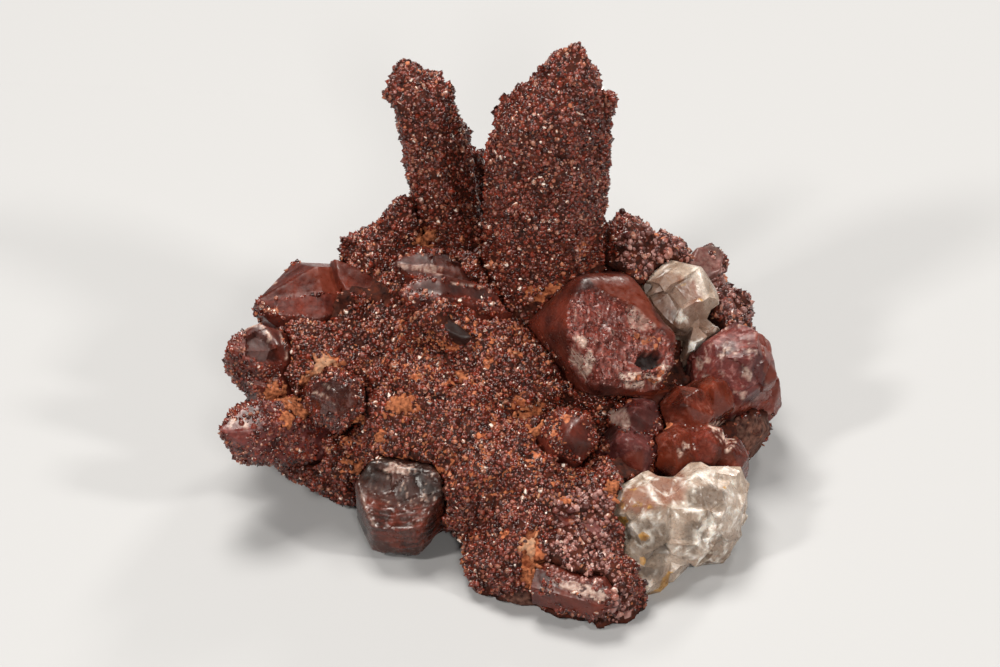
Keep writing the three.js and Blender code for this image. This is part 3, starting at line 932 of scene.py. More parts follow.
def point_template(shoulder, flat=False):
    """Corners and triangles of one small crystal of radius 1: a ring, an upper ring if it has sides, and a tip."""
    angles = np.arange(SIDES) * 2 * math.pi / SIDES
    ring = np.stack([np.cos(angles), np.sin(angles)], axis=1)
    rings = [np.column_stack([ring * 1.02, np.full(SIDES, -0.8)])]
    if shoulder:
        rings.append(np.column_stack([ring, np.full(SIDES, shoulder)]))
    corners = np.concatenate([*rings, [[0, 0, shoulder + (0.0 if flat else 1.1)]]])
    triangles = []
    top = SIDES if shoulder else 0
    for side in range(SIDES):
        after = (side + 1) % SIDES
        if shoulder:
            triangles.append((side, after, SIDES + after))
            triangles.append((side, SIDES + after, SIDES + side))
        triangles.append((top + side, top + after, len(corners) - 1))
    return corners, np.array(triangles)


def leaning(normals, lean, seed):
    axes = normals + lean * np.random.default_rng(seed).normal(size=normals.shape)
    return axes / np.linalg.norm(axes, axis=1)[:, None]


def sites_on(mesh, density, spacing, seed):
    """Random places on a mesh and their normals, so many to a square millimetre, one to a cell of the spacing."""
    random = np.random.default_rng(seed)
    corners, triangles = arrays_of(mesh)
    first, second, third = (corners[triangles[:, k]] for k in range(3))
    cross = np.cross(second - first, third - first)
    area = np.linalg.norm(cross, axis=1)
    count = int(density * area.sum() / 2)
    chosen = random.choice(len(triangles), size=count, p=area / area.sum())
    across = np.sqrt(random.random(count))[:, None]
    share = random.random(count)[:, None]
    points = first[chosen] * (1 - across)
    points = points + second[chosen] * across * (1 - share) + third[chosen] * across * share
    normals = cross[chosen] / area[chosen][:, None]
    cells = np.floor(points / spacing).astype(np.int64)
    _, kept = np.unique(cells, axis=0, return_index=True)
    kept = np.sort(kept)
    return points[kept], normals[kept]


def druse_mesh(name, points, axes, sizes, seed, tall=0.85, flat=False):
    """One joined mesh of small crystals at places. Also the number of the crystal that each corner is of."""
    random = np.random.default_rng(seed)
    count = len(points)
    side = np.cross(axes, random.normal(size=(count, 3)))
    side /= np.linalg.norm(side, axis=1)[:, None]
    other = np.cross(axes, side)
    is_long = flat | (random.random(count) < LONG_SHARE)
    all_corners = []
    all_triangles = []
    all_owner = []
    total = 0
    for shoulder, chosen in ((0.0, ~is_long), (SHOULDER, is_long)):
        template, triangles = point_template(shoulder, flat)
        picked = np.nonzero(chosen)[0]
        local = np.repeat(template[None], len(picked), axis=0)
        local[:, -1, :2] += random.uniform(-0.3, 0.3, size=(len(picked), 2))
        local[:, :, 2] *= tall * random.uniform(0.7, 1.3, size=len(picked))[:, None]
        local[:, :, 1] *= random.uniform(0.75, 1.1, size=len(picked))[:, None]
        local *= sizes[picked][:, None, None]
        placed = points[picked][:, None]
        placed = placed + local[:, :, :1] * side[picked][:, None]
        placed = placed + local[:, :, 1:2] * other[picked][:, None]
        placed = placed + local[:, :, 2:3] * axes[picked][:, None]
        all_corners.append(placed.reshape(-1, 3))
        starts = total + np.arange(len(picked))[:, None, None] * len(template)
        all_triangles.append((starts + triangles[None]).reshape(-1, 3))
        all_owner.append(np.repeat(picked, len(template)))
        total += len(picked) * len(template)
    corners = np.concatenate(all_corners)
    corners[:, 2] = np.maximum(corners[:, 2], 0)
    return mesh_from(name, corners, np.concatenate(all_triangles)), np.concatenate(all_owner)


def grow_druse(name, points, axes, sizes, seed, material, slot, masks, **form):
    """A piece of druse with masks given for each crystal, a polish drawn for each and a tone for each corner."""
    mesh, owner = druse_mesh(name, points, axes, sizes, seed, **form)
    random = np.random.default_rng(seed + 1000)
    polish = random.random(len(points))
    tone = random.random(len(points))
    each = {"polish": polish, **masks}
    made = {name: values[owner] for name, values in each.items()}
    made["tone"] = np.clip(tone[owner] + 0.3 * (random.random(len(owner)) - 0.6), 0, 1)
    set_masks(mesh, made)
    return add_piece(name, mesh, material)


def druse_fields(surface, seed):
    """For each site: how coarse its crystals are, how pale, and how stained."""
    points = surface.points
    coarse = surface.regions(COARSE_OUTLINES, ragged=5, size=2, edge=6)
    hidden = ~surface.shown
    coarse = np.where(hidden, ramp(rough(points, 9.0, seed, 2), 0.25, 0.5), coarse)
    light = np.random.default_rng(seed).random(len(points))
    pale = np.where(light < 0.75, coarse * (0.35 + 0.65 * light), 0.2 * coarse)
    rust = rust_of(surface)
    rust = np.where(light < 0.3 * rust + 0.003, 0.6, 0.0)
    return coarse, np.maximum(pale, 0.7 * surface.spots(PALE_STAINS) * (light < 0.5)), rust


def site_sizes(coarse, shown, seed):
    """Radii in millimetres: fine where the front shows them, a little larger elsewhere, largest where coarse."""
    draw = np.random.default_rng(seed).random(len(coarse)) ** 1.8
    fine = np.where(shown, 0.2, 0.26) + np.where(shown, 0.19, 0.26) * draw
    return fine * (1 - coarse) + (0.24 + 0.3 * draw) * coarse


def thinned(surface, coarse, seed):
    """Which sites to keep: fewer where crystals are coarse or where the front doesn't show them."""
    draw = np.random.default_rng(seed).random(len(coarse))
    share = np.where(surface.shown, 1.0, 0.46) * (1 - 0.5 * coarse)
    return draw < share


def druse_on(mesh, prefix, density, seed, slot, allowed):
    """Coats a mesh, in quarters so that no piece grows too large. allowed gives each site's chance from 0 to 1."""
    points, normals = sites_on(mesh, density, 0.29, seed)
    surface = Surface(points, normals)
    coarse, pale, rust = druse_fields(surface, seed)
    chance = allowed(surface) * (1 - surface.regions(BARE_OUTLINES, ragged=2.5, size=0.9))
    kept = thinned(surface, coarse, seed + 1)
    kept &= np.random.default_rng(seed + 2).random(len(points)) < chance
    sizes = site_sizes(coarse, surface.shown, seed + 3)
    axes = leaning(normals, 0.36, seed + 4)
    sideways = points[:, 0] < cad_centre[0]
    ahead = points[:, 1] < cad_centre[1]
    quarters = {
        "front_left": sideways & ahead,
        "front_right": ~sideways & ahead,
        "back_left": sideways & ~ahead,
        "back_right": ~sideways & ~ahead,
    }
    for index, (quarter, inside_it) in enumerate(quarters.items()):
        chosen = kept & inside_it
        if chosen.sum() < 12:
            continue
        masks = {"pale": pale[chosen], "rust": rust[chosen]}
        name = f"{prefix}_{quarter}"
        grow_druse(name, points[chosen], axes[chosen], sizes[chosen], seed + 10 + index, red_druse, slot, masks)


FLASH = unit((-0.1, -0.31, 0.95))


def add_flats(mesh, name, count, seed, slot, allowed):
    """Flat-topped crystals that all face one way, as those grown on one crystal do, so that they flash together."""
    points, normals = sites_on(mesh, 2.0, 0.5, seed)
    surface = Surface(points, normals)
    chance = allowed(surface) * (1 - surface.regions(BARE_OUTLINES)) * (normals @ FLASH > 0.15)
    random = np.random.default_rng(seed + 1)
    chosen = random.permutation(np.nonzero(chance > 0.5)[0])[:count]
    sizes = 0.13 + 0.17 * random.random(len(chosen)) ** 1.5
    points = points[chosen] + normals[chosen] * sizes[:, None] * 0.6
    axes = leaning(np.repeat(FLASH[None], len(chosen), axis=0), 0.06, seed + 2)
    masks = {"pale": np.full(len(chosen), 0.3), "rust": np.zeros(len(chosen))}
    grow_druse(name, points, axes, sizes, seed + 3, red_druse, slot, masks, flat=True)


def on_rock(surface):
    """No druse on the underside, in the seats of the crystals, in hollows or on stains."""
    above = ramp(surface.points[:, 2], 0.6, 1.6)
    seats = surface.covered(crystal_tree)
    hollow = ramp(surface.lines(SHADED_HOLLOW_LINES), 0.4, 0.9)
    stain = surface.spots(ORANGE_SPOTS, ragged=0.7, size=0.8)
    return above * (1 - seats) * (1 - 0.9 * hollow) * (1 - 0.75 * stain) * (1 - 0.45 * rust_of(surface))


def on_uprights(surface):
    return 1 - surface.covered(rock_tree)


def on_skirt(surface):
    """Druse creeps up a crystal from the rock."""
    creep = nearness(surface.points, rock_tree, 1.6) + 0.35 * rough(surface.points, 2.0, 310)
    return ramp(creep, 0.35, 0.6) * (1 - surface.covered(rock_tree))


def on_coated(surface):
    """Druse creeps up a crystal and coats the shown sides that no outline keeps bare."""
    shown = surface.shown * (1 - surface.covered(rock_tree))
    return np.maximum(on_skirt(surface), shown)


# Single crystals

CRYSTAL_GRAIN = 0.26
CRISP_ANGLE = math.radians(22)  # faces that meet at more than this are shaded with a crisp edge


def long_axis(corners):
    """The direction of a crystal's length, from how its corners spread."""
    spread = corners - corners.mean(axis=0)
    return np.linalg.svd(spread.T @ spread)[0][:, 0]


def build_crystal(node, material, slot, grain=CRYSTAL_GRAIN, soft=2, wave=0.06, slack=1.0, paint=None, shape=None):
    """A node as a fine mesh with slightly uneven faces and worn edges. paint gives its relief and its masks.

    slack is how far, in millimetres, a point may lie behind the front of the solids and still count as shown.
    """
    mesh = even_mesh(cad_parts[node].data, grain)
    tree = tree_of([node])
    near = [tree.find_nearest(Vector(corner))[0] for corner in corners_of(mesh)]
    set_corners(mesh, np.array([point[:] for point in near]))
    if shape is not None:
        mesh = shape(mesh, grain)
    corners = relaxed(mesh, corners_of(mesh), soft)
    set_corners(mesh, corners)
    normals = normals_of(mesh)
    surface = Surface(corners, slack=slack)
    relief, masks = (0, {}) if paint is None else paint(surface)
    step = wave * rough(corners, 2.2, 90, 2) + 0.35 * wave * waves(corners, 0.5, 97) + relief
    set_corners(mesh, corners + normals * step[:, None])
    masks["along"] = corners @ long_axis(corners)
    set_masks(mesh, masks)
    mesh.set_sharp_from_angle(angle=CRISP_ANGLE)
    add_piece(node + "_quartz", mesh, material, [node])
    return mesh


def shape_broken(mesh, grain):
    """Cut to the arch of its upper edge, and rounded there."""
    mesh = even_mesh(cut(mesh, ABOVE_ARCH, "DIFFERENCE"), grain)
    corners = corners_of(mesh)
    surface = Surface(corners, slack=3.0)
    band = [(505, 330), (505, 250), (680, 250), (720, 350), (660, 350), (640, 305), (600, 290), (570, 300), (560, 340)]
    set_corners(mesh, relaxed(mesh, corners, 60, surface.region(band, edge=16)))
    return mesh


def paint_broken(surface):
    points = surface.points
    inner = surface.region(BROKEN_INNER, ragged=1.5)
    relief, edge = chips(points, 2.2, 131)
    drawn = streaks(points, 133)
    dome = surface.spots([(584, 314, 2.4)], ragged=0.3)
    step = inner * (-0.5 + 0.4 * relief - 0.15 * edge + 0.12 * drawn + 0.35 * dome)
    step -= 1.3 * surface.region(BROKEN_HOLE, ragged=1.0)
    step += 0.3 * surface.region(BROKEN_WHITE) * rough(points, 0.9, 137)
    band = ramp(surface.region(BROKEN_ALL, edge=4) - inner, 0.2, 0.9)
    lobe = surface.spots([(606, 279, 2.8), (632, 294, 3.0), (647, 316, 1.8)], ragged=0.4)
    pale = 0.8 * surface.region(BROKEN_PALE) * ramp(rough(points, 1.6, 138), -0.9, 0.1)
    pale = np.maximum(pale, surface.region(BROKEN_WHITE) * ramp(rough(points, 1.0, 139), -0.6, -0.1))
    pale = np.maximum(pale, 0.35 * surface.region(BROKEN_GREY, ragged=1.0))
    pale = np.maximum(pale, inner * 0.3 * ramp(drawn, 0.5, 0.85))
    pale = np.maximum(pale, surface.line([(569, 360), (576, 371), (584, 382)], 0.3))
    rust = 0.75 * surface.region(BROKEN_ORANGE) * ramp(rough(points, 0.8, 141), -0.2, 0.3)
    rust = np.maximum(rust, 0.8 * surface.spots([(640, 381, 0.9), (655, 384, 0.9), (664, 372, 0.8)]))
    glow = np.maximum(0.75 * band * lobe, 0.9 * surface.spots([(597, 343, 0.75)], ragged=0.2))
    glow = np.maximum(glow, 0.9 * surface.region(BROKEN_UNDER))
    fresh = inner * (0.5 + 0.35 * ramp(drawn, -0.3, 0.5))
    # Painted shade: dark in the sunken hole and along the creases between chips on the broken face.
    dark = np.maximum(surface.region(BROKEN_HOLE), 0.35 * inner * edge)
    return step, {"fresh": fresh, "pale": pale, "rust": rust, "glow": glow, "dark": dark}


def paint_stub(surface):
    points = surface.points
    top = surface.region([(366, 488), (378, 462), (394, 456), (417, 456), (436, 469), (446, 492), (430, 504), (392, 506)])
    low = surface.region([(362, 494), (392, 506), (432, 503), (447, 496), (442, 540), (402, 552), (372, 536)], edge=5)
    centre = seen(398, 474)
    rings = np.linalg.norm((points - centre) * np.array([0.8, 1, 1]), axis=1) + 0.25 * rough(points, 2.2, 160)
    ripple = np.sin(rings * 2 * math.pi / 0.75)
    relief, edge = chips(points, 2.8, 165)
    step = low * (0.05 * ripple) + (top + 0.5 * low) * (0.3 * relief - 0.1 * edge)
    scratch = ramp(streaks(points, 167, 0.2, 0.7), 0.55, 0.85)
    pale = 0.5 * top * scratch
    whitish = [(396, 468, 0.8), (404, 471, 0.9), (388, 471, 0.5), (424, 496, 0.4)]
    pale = np.maximum(pale, 0.8 * surface.spots(whitish, ragged=0.9, size=0.5))
    pale = np.maximum(pale, 0.3 * surface.line([(362, 496), (366, 512), (376, 528)], 0.4))
    fresh = low * (0.05 + 0.3 * ramp(ripple, 0.2, 1.0))
    glow = low * 0.45 * ramp(rough(points, 1.5, 169), -0.2, 0.5)
    return step, {"fresh": fresh, "pale": pale, "glow": glow, "dark": 0.3 * top * (1 - scratch)}


def paint_left(surface):
    points = surface.points
    ridge = surface.line([(264, 302), (310, 297), (350, 291)], 0.9)
    lower = surface.region(LEFT_LOWER_FACE, edge=6)
    glow = 0.55 * surface.spots([(356, 284, 3.0), (330, 280, 2.6)], ragged=0.3)
    # Two pale spots: a chip at (271, 281), and a painted glint at (296, 262).
    chip = surface.spots([(271, 281, 0.6), (296, 262, 0.5)])
    step = 0.08 * ridge + 0.12 * chip * rough(points, 0.7, 181)
    return step, {"fresh": np.maximum(0.35 * ridge, 0.22 * lower), "glow": glow, "pale": 0.6 * chip}


def paint_left_stub(surface):
    points = surface.points
    hollow = surface.region(STUB_DARK, ragged=0.8)
    # The arcs and the strip are painted reflections, pale and broken up by noise.
    reflection_arcs = np.maximum(surface.lines(STUB_REFLECTION_ARC), surface.lines(STUB_REFLECTION_STRIP))
    broken = reflection_arcs * ramp(rough(points, 0.6, 185), -0.6, 0.1)
    rim = surface.line([(243, 365), (262, 368), (284, 364)], 0.7)
    step = -0.7 * hollow + 0.2 * reflection_arcs
    fresh = np.maximum(0.5 * rim, 0.25 * surface.spots([(240, 350, 2.0)]))
    # The sunken face is painted dark, as painted shade, except under the painted reflections.
    return step, {"pale": 0.95 * broken, "fresh": fresh, "dark": 0.55 * hollow * (1 - reflection_arcs)}


def paint_small(surface):
    points = surface.points
    # The arcs are painted reflections: white arcs and a white spot on the glassy faces.
    reflection_arcs = surface.lines([([(306, 394), (316, 392), (326, 397), (334, 404)], 0.3), ([(324, 383), (330, 389)], 0.35)])
    relief, edge = chips(points, 2.2, 187)
    amber = surface.spots([(316, 408, 1.0)])
    dark = surface.region([(318, 382), (338, 379), (352, 390), (348, 400), (330, 398)])
    pale = 0.9 * reflection_arcs * ramp(rough(points, 0.5, 188), -0.5, 0.1)
    return 0.22 * relief - 0.06 * edge, {"pale": pale, "glow": 0.6 * amber, "dark": 0.45 * dark}


def paint_rear(surface):
    points = surface.points
    band = surface.region(REAR_BAND, ragged=1.5, size=0.5)
    lip = surface.line([(409, 284), (447, 283), (486, 287), (495, 295)], 0.3) * ramp(rough(points, 0.8, 191), -0.2, 0.2)
    glow = 0.45 * surface.region([(444, 268), (450, 262), (472, 280), (474, 286), (446, 280)], edge=4)
    pale = np.maximum(0.62 * band * ramp(streaks(points, 193, 0.5, 0.9), -0.7, 0.1), 0.6 * lip)
    plain = surface.regions([REAR_UPPER_FACE, REAR_LOWER_FACE]) * (1 - band)
    return 0.06 * band + 0.1 * plain * rough(points, 1.8, 194), {"pale": pale, "glow": glow, "dark": 0.5 * plain}


def paint_right(surface):
    points = surface.points
    strip = surface.regions([
        [(764, 360), (778, 372), (783, 395), (781, 414), (762, 412), (756, 404), (765, 385)],
        [(731, 403), (757, 404), (764, 412), (735, 414)],
        [(752, 322), (764, 332), (772, 350), (770, 364), (758, 345)],
    ], edge=4)
    relief, edge = chips(points, 3.0, 195)
    sparkle = ramp(rough(points, 0.9, 197), 0.35, 0.75)
    step = 0.2 * relief - 0.05 * edge
    fresh = 0.5 * ramp(rough(points, 1.8, 199), -0.1, 0.6) * (1 - strip)
    return step, {"glow": 0.7 * strip, "fresh": fresh, "pale": 0.5 * sparkle * (1 - strip)}


def paint_red(surface):
    points = surface.points
    pink = surface.region([(691, 430), (705, 425), (716, 440), (717, 455), (709, 467), (697, 463), (694, 445)])
    white = surface.region([(708, 424), (722, 418), (733, 425), (736, 446), (728, 453), (718, 440)], ragged=2)
    # The spot at (683, 448) is a painted highlight on the glossy red crystal.
    white = np.maximum(white, 0.9 * surface.spots([(683, 448, 0.7)], ragged=0.9, size=0.6))
    white = np.maximum(white, 0.6 * surface.line([(697, 430), (694, 448), (698, 464)], 0.25))
    flat = surface.regions([
        [(699, 387), (715, 373), (724, 372), (727, 385), (732, 402), (734, 413), (719, 415), (706, 395)],
        [(657, 452), (690, 452), (694, 463), (655, 468)],
    ], edge=3)
    earth = surface.spots([(668, 427, 0.8), (655, 446, 0.4)])
    pale = white * ramp(rough(points, 0.6, 203), -0.5, 0.1)
    return 0, {"fresh": 0.5 * pink, "pale": pale, "glow": 0.5 * flat, "rust": 0.9 * earth}


def paint_pocket(surface):
    grey = surface.region([(607, 412), (618, 409), (626, 406), (629, 420), (630, 431), (614, 424)])
    red = surface.spots([(632, 462, 1.7)], ragged=0.3)
    mauve = surface.region([(628, 408), (657, 412), (652, 430), (632, 430)])
    return 0, {"pale": 0.45 * grey, "glow": 0.5 * red, "fresh": 0.2 * mauve, "dark": 0.35 * mauve}


def paint_round(surface):
    rust = surface.spots([(556, 428, 0.8), (562, 418, 0.8), (560, 440, 0.5)], ragged=0.9, size=0.7)
    grey = surface.region([(546, 414), (552, 410), (552, 430), (546, 438)])
    return 0, {"rust": 0.9 * rust, "dark": 0.7 * grey}


def paint_front(surface):
    points = surface.points
    strip = surface.region(FRONT_STRIP, ragged=1.0)
    pits = ramp(rough(points, 0.5, 207), 0.4, 0.6)
    glow = 0.25 * surface.region(FRONT_RED)
    return 0.1 * strip, {"pale": 0.6 * strip * (1 - pits), "glow": glow, "dark": 0.7 * strip * pits}


def paint_point(surface):
    # The silver spots at the tip are a painted reflection, pale.
    silver_reflection = surface.spots([(234, 422, 0.6), (244, 424, 0.5)], ragged=0.9, size=0.5)
    return 0, {"pale": 0.8 * silver_reflection, "fresh": 0.35 * surface.region(POINT_TIP)}


def shape_pale(mesh, grain):
    """Broken into flat facets with crisp edges, as quartz breaks."""
    corners = corners_of(mesh)
    relief, _ = chips(corners, 4.2, 201, tilt=1.2)
    small, _ = chips(corners, 2.0, 211)
    step = 0.6 * relief + 0.22 * small - 0.15
    set_corners(mesh, corners + normals_of(mesh) * step[:, None])
    mesh = changed(mesh, "DECIMATE", ratio=0.035)
    mesh = changed(mesh, "SUBSURF", subdivision_type="SIMPLE", levels=2)
    mesh.polygons.foreach_set("use_smooth", np.zeros(len(mesh.polygons), dtype=bool))
    return mesh


WHITE_CRACKS = [
    ([(683, 484), (696, 475), (712, 472), (722, 480)], 0.7),
    ([(650, 511), (668, 511), (686, 509), (702, 512), (722, 516), (740, 510)], 0.45),
    ([(628, 517), (632, 524), (634, 531)], 0.45),
    ([(674, 503), (678, 520), (676, 536), (681, 546), (673, 552)], 0.4),
    ([(690, 478), (694, 492)], 0.4),
    ([(727, 486), (736, 493)], 0.9),
    ([(700, 519), (702, 537)], 0.25),
    ([(648, 484), (654, 498), (660, 505)], 0.6),
    ([(635, 556), (638, 570), (644, 576)], 0.35),
    ([(612, 560), (608, 535), (610, 520)], 0.35),
]


def paint_block(surface):
    points = surface.points
    cracks = surface.lines(WHITE_CRACKS) * ramp(rough(points, 0.7, 231), -0.7, -0.1)
    fine = threads(points, 2.2, 233, 0.14) * ramp(rough(points, 1.6, 234), -0.4, 0.2)
    grey = surface.regions([
        [(607, 517), (640, 518), (668, 524), (670, 550), (660, 578), (645, 578), (624, 566), (610, 542)],
        [(684, 524), (700, 520), (706, 534), (694, 552), (684, 548)],
        [(684, 490), (712, 482), (728, 492), (724, 508), (690, 508)],
    ], edge=6)
    right = surface.region([(700, 515), (742, 512), (738, 530), (716, 566), (694, 578), (690, 556)], edge=8)
    bits = ramp(rough(points, 0.8, 236), 0.0, 0.4)
    cracks = np.maximum(cracks, (1 - 0.6 * grey) * fine)
    cracks = np.maximum(cracks, 0.9 * right * bits)
    red = surface.regions([[(650, 470), (680, 468), (688, 484), (684, 502), (664, 506), (652, 492)]], edge=6)
    red = np.maximum(red, 0.6 * surface.region([(696, 486), (722, 486), (724, 500), (700, 504)], edge=8))
    rust = surface.spots([(644, 538, 0.6), (643, 560, 0.7), (668, 582, 1.5), (684, 577, 1.4), (653, 594, 1.2)])
    orange = surface.region([(612, 490), (650, 484), (662, 504), (640, 514), (616, 508)], edge=5)
    red = np.maximum(red, orange)
    rust = np.maximum(rust, 0.5 * orange * bits)
    hidden = ~surface.shown
    grey = np.where(hidden, 0.6 * ramp(rough(points, 4.0, 235), 0, 0.4), 0.9 * grey)
    rust = np.where(hidden, 0.8 * ramp(rough(points, 3.0, 237), 0.4, 0.7), rust)
    return 0, {"pale": cracks, "fresh": 0.85 * red, "dark": grey, "rust": rust}


def paint_ridge(surface):
    points = surface.points
    white = surface.spots([(681, 317, 0.9), (694, 348, 0.8), (701, 343, 0.6), (664, 275, 0.6)], ragged=0.8, size=0.6)
    white = np.maximum(white, 0.5 * surface.line([(641, 291), (655, 314), (664, 328)], 0.3))
    yellow = surface.region(RIDGE_YELLOW)
    rust = surface.lines([([(676, 281), (690, 286), (700, 300)], 0.5)])
    rust = np.maximum(rust, 0.6 * surface.spots([(712, 358, 0.8), (708, 370, 0.5)]))
    masks = {"pale": np.maximum(white, 0.6 * yellow * ramp(rough(points, 0.8, 241), -0.2, 0.4))}
    masks["rust"] = 0.7 * rust
    glassy = surface.region(RIDGE_ALL, edge=6) * (1 - yellow)
    masks["dark"] = 0.4 * glassy
    masks["fresh"] = surface.regions([RIDGE_RED, [(676, 276), (692, 282), (703, 300), (694, 306), (678, 292)]])
    masks["fresh"] = np.maximum(masks["fresh"], 0.6 * glassy)
    return 0, masks


BROKEN_FORM = {"grain": 0.3, "soft": 0, "wave": 0.015, "shape": shape_pale}
CRYSTALS = {
    "broken_crystal": (
        red_quartz, "hematoid_quartz", on_skirt, {"soft": 10, "paint": paint_broken, "shape": shape_broken}
    ),
    "smoky_stub": (smoky_quartz, "smoky_quartz", on_skirt, {"soft": 14, "paint": paint_stub}),
    "left_crystal": (red_quartz, "hematoid_quartz", on_coated, {"soft": 1, "paint": paint_left}),
    "left_stub": (red_quartz, "hematoid_quartz", on_coated, {"soft": 2, "paint": paint_left_stub}),
    "left_point": (purple_quartz, "hematoid_quartz", on_coated, {"soft": 2, "paint": paint_point}),
    "small_crystal": (glassy_quartz, "hematoid_quartz", on_coated, {"soft": 1, "paint": paint_small}),
    "round_crystal": (red_quartz, "hematoid_quartz", on_coated, {"soft": 10, "paint": paint_round}),
    "pocket_crystal": (purple_quartz, "hematoid_quartz", on_coated, {"soft": 2, "paint": paint_pocket}),
    "rear_crystals": (red_quartz, "hematoid_quartz", on_coated, {"soft": 1, "paint": paint_rear}),
    "right_crystal": (purple_quartz, "hematoid_quartz", on_skirt, {"soft": 2, "paint": paint_right}),
    "red_crystals": (bright_quartz, "hematoid_quartz", on_skirt, {"soft": 1, "paint": paint_red}),
    "front_crystal": (red_quartz, "hematoid_quartz", on_coated, {"grain": 0.2, "soft": 1, "paint": paint_front}),
    "pale_quartz_block": (pale_quartz, "pale_quartz", None, {**BROKEN_FORM, "paint": paint_block}),
    "pale_quartz_ridge": (pale_quartz, "pale_quartz", None, {**BROKEN_FORM, "slack": 8.0, "paint": paint_ridge}),
}


def build_crystals():
    for index, (node, (material, slot, allowed, form)) in enumerate(CRYSTALS.items()):
        mesh = build_crystal(node, material, slot, **form)
        if allowed is not None:
            druse_on(mesh, "druse_on_" + node, 7.5, 400 + 20 * index, slot, allowed)


def add_slab(name, outline, middle, facing, lift, material, masks):
    """A flat face of a crystal sunk in the rock: an outline of places on a plane through a seen place."""
    facing = unit(facing)
    base = seen(*middle) + facing * lift
    rays = np.array([line_of_sight(*place) for place in outline])
    top = eye + rays * (((base - eye) @ facing) / (rays @ facing))[:, None]
    centre = top.mean(axis=0)
    mesh = even_mesh(prism_between(top, centre + (top - centre) * 1.1 - facing * 2.2), 0.2)
    corners = relaxed(mesh, corners_of(mesh), 6)
    step = 0.12 * rough(corners, 2.2, 260, 3)
    set_corners(mesh, corners + normals_of(mesh) * step[:, None])
    set_masks(mesh, {mask: np.full(len(corners), value) for mask, value in masks.items()})
    add_piece(name, mesh, material)


def build_slabs():
    shoulder = [
        (334, 257), (356, 266), (374, 277), (388, 289), (394, 305), (381, 302), (364, 296), (347, 292),
        (338, 275),
    ]
    add_slab("left_shoulder", shoulder, (364, 283), (0.22, -0.4, 0.88), 1.0, red_quartz, {"glow": 0.15})
    add_slab("dark_face", DARK_FACE, (452, 327), (0.3, -0.45, 0.84), 0.5, smoky_quartz, {"dark": 0.6})
    add_slab("brown_face", BROKEN_UNDER, (655, 399), (0.05, -0.6, 0.8), 0.7, red_quartz, {"glow": 0.7})
    rose = [(571, 521), (590, 514), (603, 524), (606, 546), (590, 552), (575, 542)]
    add_slab("nose_face", rose, (589, 532), (0.15, -0.75, 0.64), 0.3, purple_quartz, {"fresh": 0.3})
    upper = [(556, 507), (572, 499), (584, 506), (580, 520), (566, 526), (555, 518)]
    add_slab("nose_upper_face", upper, (569, 512), (-0.1, -0.6, 0.79), 0.25, red_quartz, {"fresh": 0.4})
    brown = [(690, 262), (697, 247), (712, 244), (724, 252), (722, 270), (708, 278), (694, 274)]
    add_slab("far_crystal", brown, (706, 262), (0.25, -0.5, 0.83), 0.8, purple_quartz, {"pale": 0.12})


# Crust of iron oxide, earthy and cracked, lying in the stained hollows

CRUST_SPOTS = [
    (400, 405, 1.5, 70), (276, 398, 1.6, 80), (290, 402, 1.4, 70), (300, 412, 1.0, 40), (357, 466, 0.8, 26),
    (378, 438, 0.7, 20), (425, 239, 1.1, 46), (528, 416, 1.3, 60), (536, 432, 0.8, 26), (324, 366, 1.1, 44),
    (532, 575, 1.4, 70), (530, 545, 1.0, 44), (461, 378, 0.7, 22), (306, 384, 0.9, 34), (314, 372, 0.8, 26),
    (340, 368, 0.7, 24), (286, 418, 0.9, 30), (356, 418, 0.8, 22), (612, 488, 0.8, 24),
]
PALE_CRUST = {(324, 366), (530, 545)}
CRUST_GRAIN = 0.15


def add_flecks(rock_mesh, crumb, triangles):
    """Crumbs of iron oxide along the stained threads between the small crystals."""
    points, normals = sites_on(rock_mesh, 2.2, 0.4, 305)
    surface = Surface(points, normals)
    random = np.random.default_rng(306)
    chance = rust_of(surface) * on_rock(surface) * (1 - surface.regions(BARE_OUTLINES))
    chosen = random.permutation(np.nonzero(random.random(len(points)) < 1.3 * chance)[0])[:1500]
    count = len(chosen)
    turns = np.linalg.qr(random.normal(size=(count, 3, 3)))[0]
    turns *= np.sign(np.linalg.det(turns))[:, None, None]
    lumps = crumb[None] * random.uniform(0.7, 1.25, size=(count, len(crumb), 1)) * (1.7, 0.8, 0.6)
    lumps = lumps * (0.1 + 0.16 * random.random(count))[:, None, None]
    corners = np.einsum("nij,njk->nik", lumps, turns) + (points[chosen] + 0.16 * normals[chosen])[:, None]
    order = np.arange(count)[:, None, None] * len(crumb) + triangles[None]
    mesh = mesh_from("iron_flecks", corners.reshape(-1, 3), order.reshape(-1, 3))
    set_masks(mesh, {"pale": np.repeat(0.3 * random.random(count) ** 2, len(crumb))})
    add_piece("iron_flecks", mesh, iron_crust)


def crumb_template():
    """A small closed lump of 20 faces."""
    golden = (1 + 5**0.5) / 2
    corners = []
    for a in (-1, 1):
        for b in (-golden, golden):
            corners += [(0, a, b), (a, b, 0), (b, 0, a)]
    corners = np.array(corners) / math.hypot(1, golden)
    edge = 1.1
    triangles = []
    for i in range(12):
        for j in range(i + 1, 12):
            for k in range(j + 1, 12):
                if max(np.linalg.norm(corners[a] - corners[b]) for a, b in ((i, j), (j, k), (i, k))) > edge:
                    continue
                outward = np.cross(corners[j] - corners[i], corners[k] - corners[i]) @ corners[i]
                triangles.append((i, j, k) if outward > 0 else (i, k, j))
    return corners, np.array(triangles)


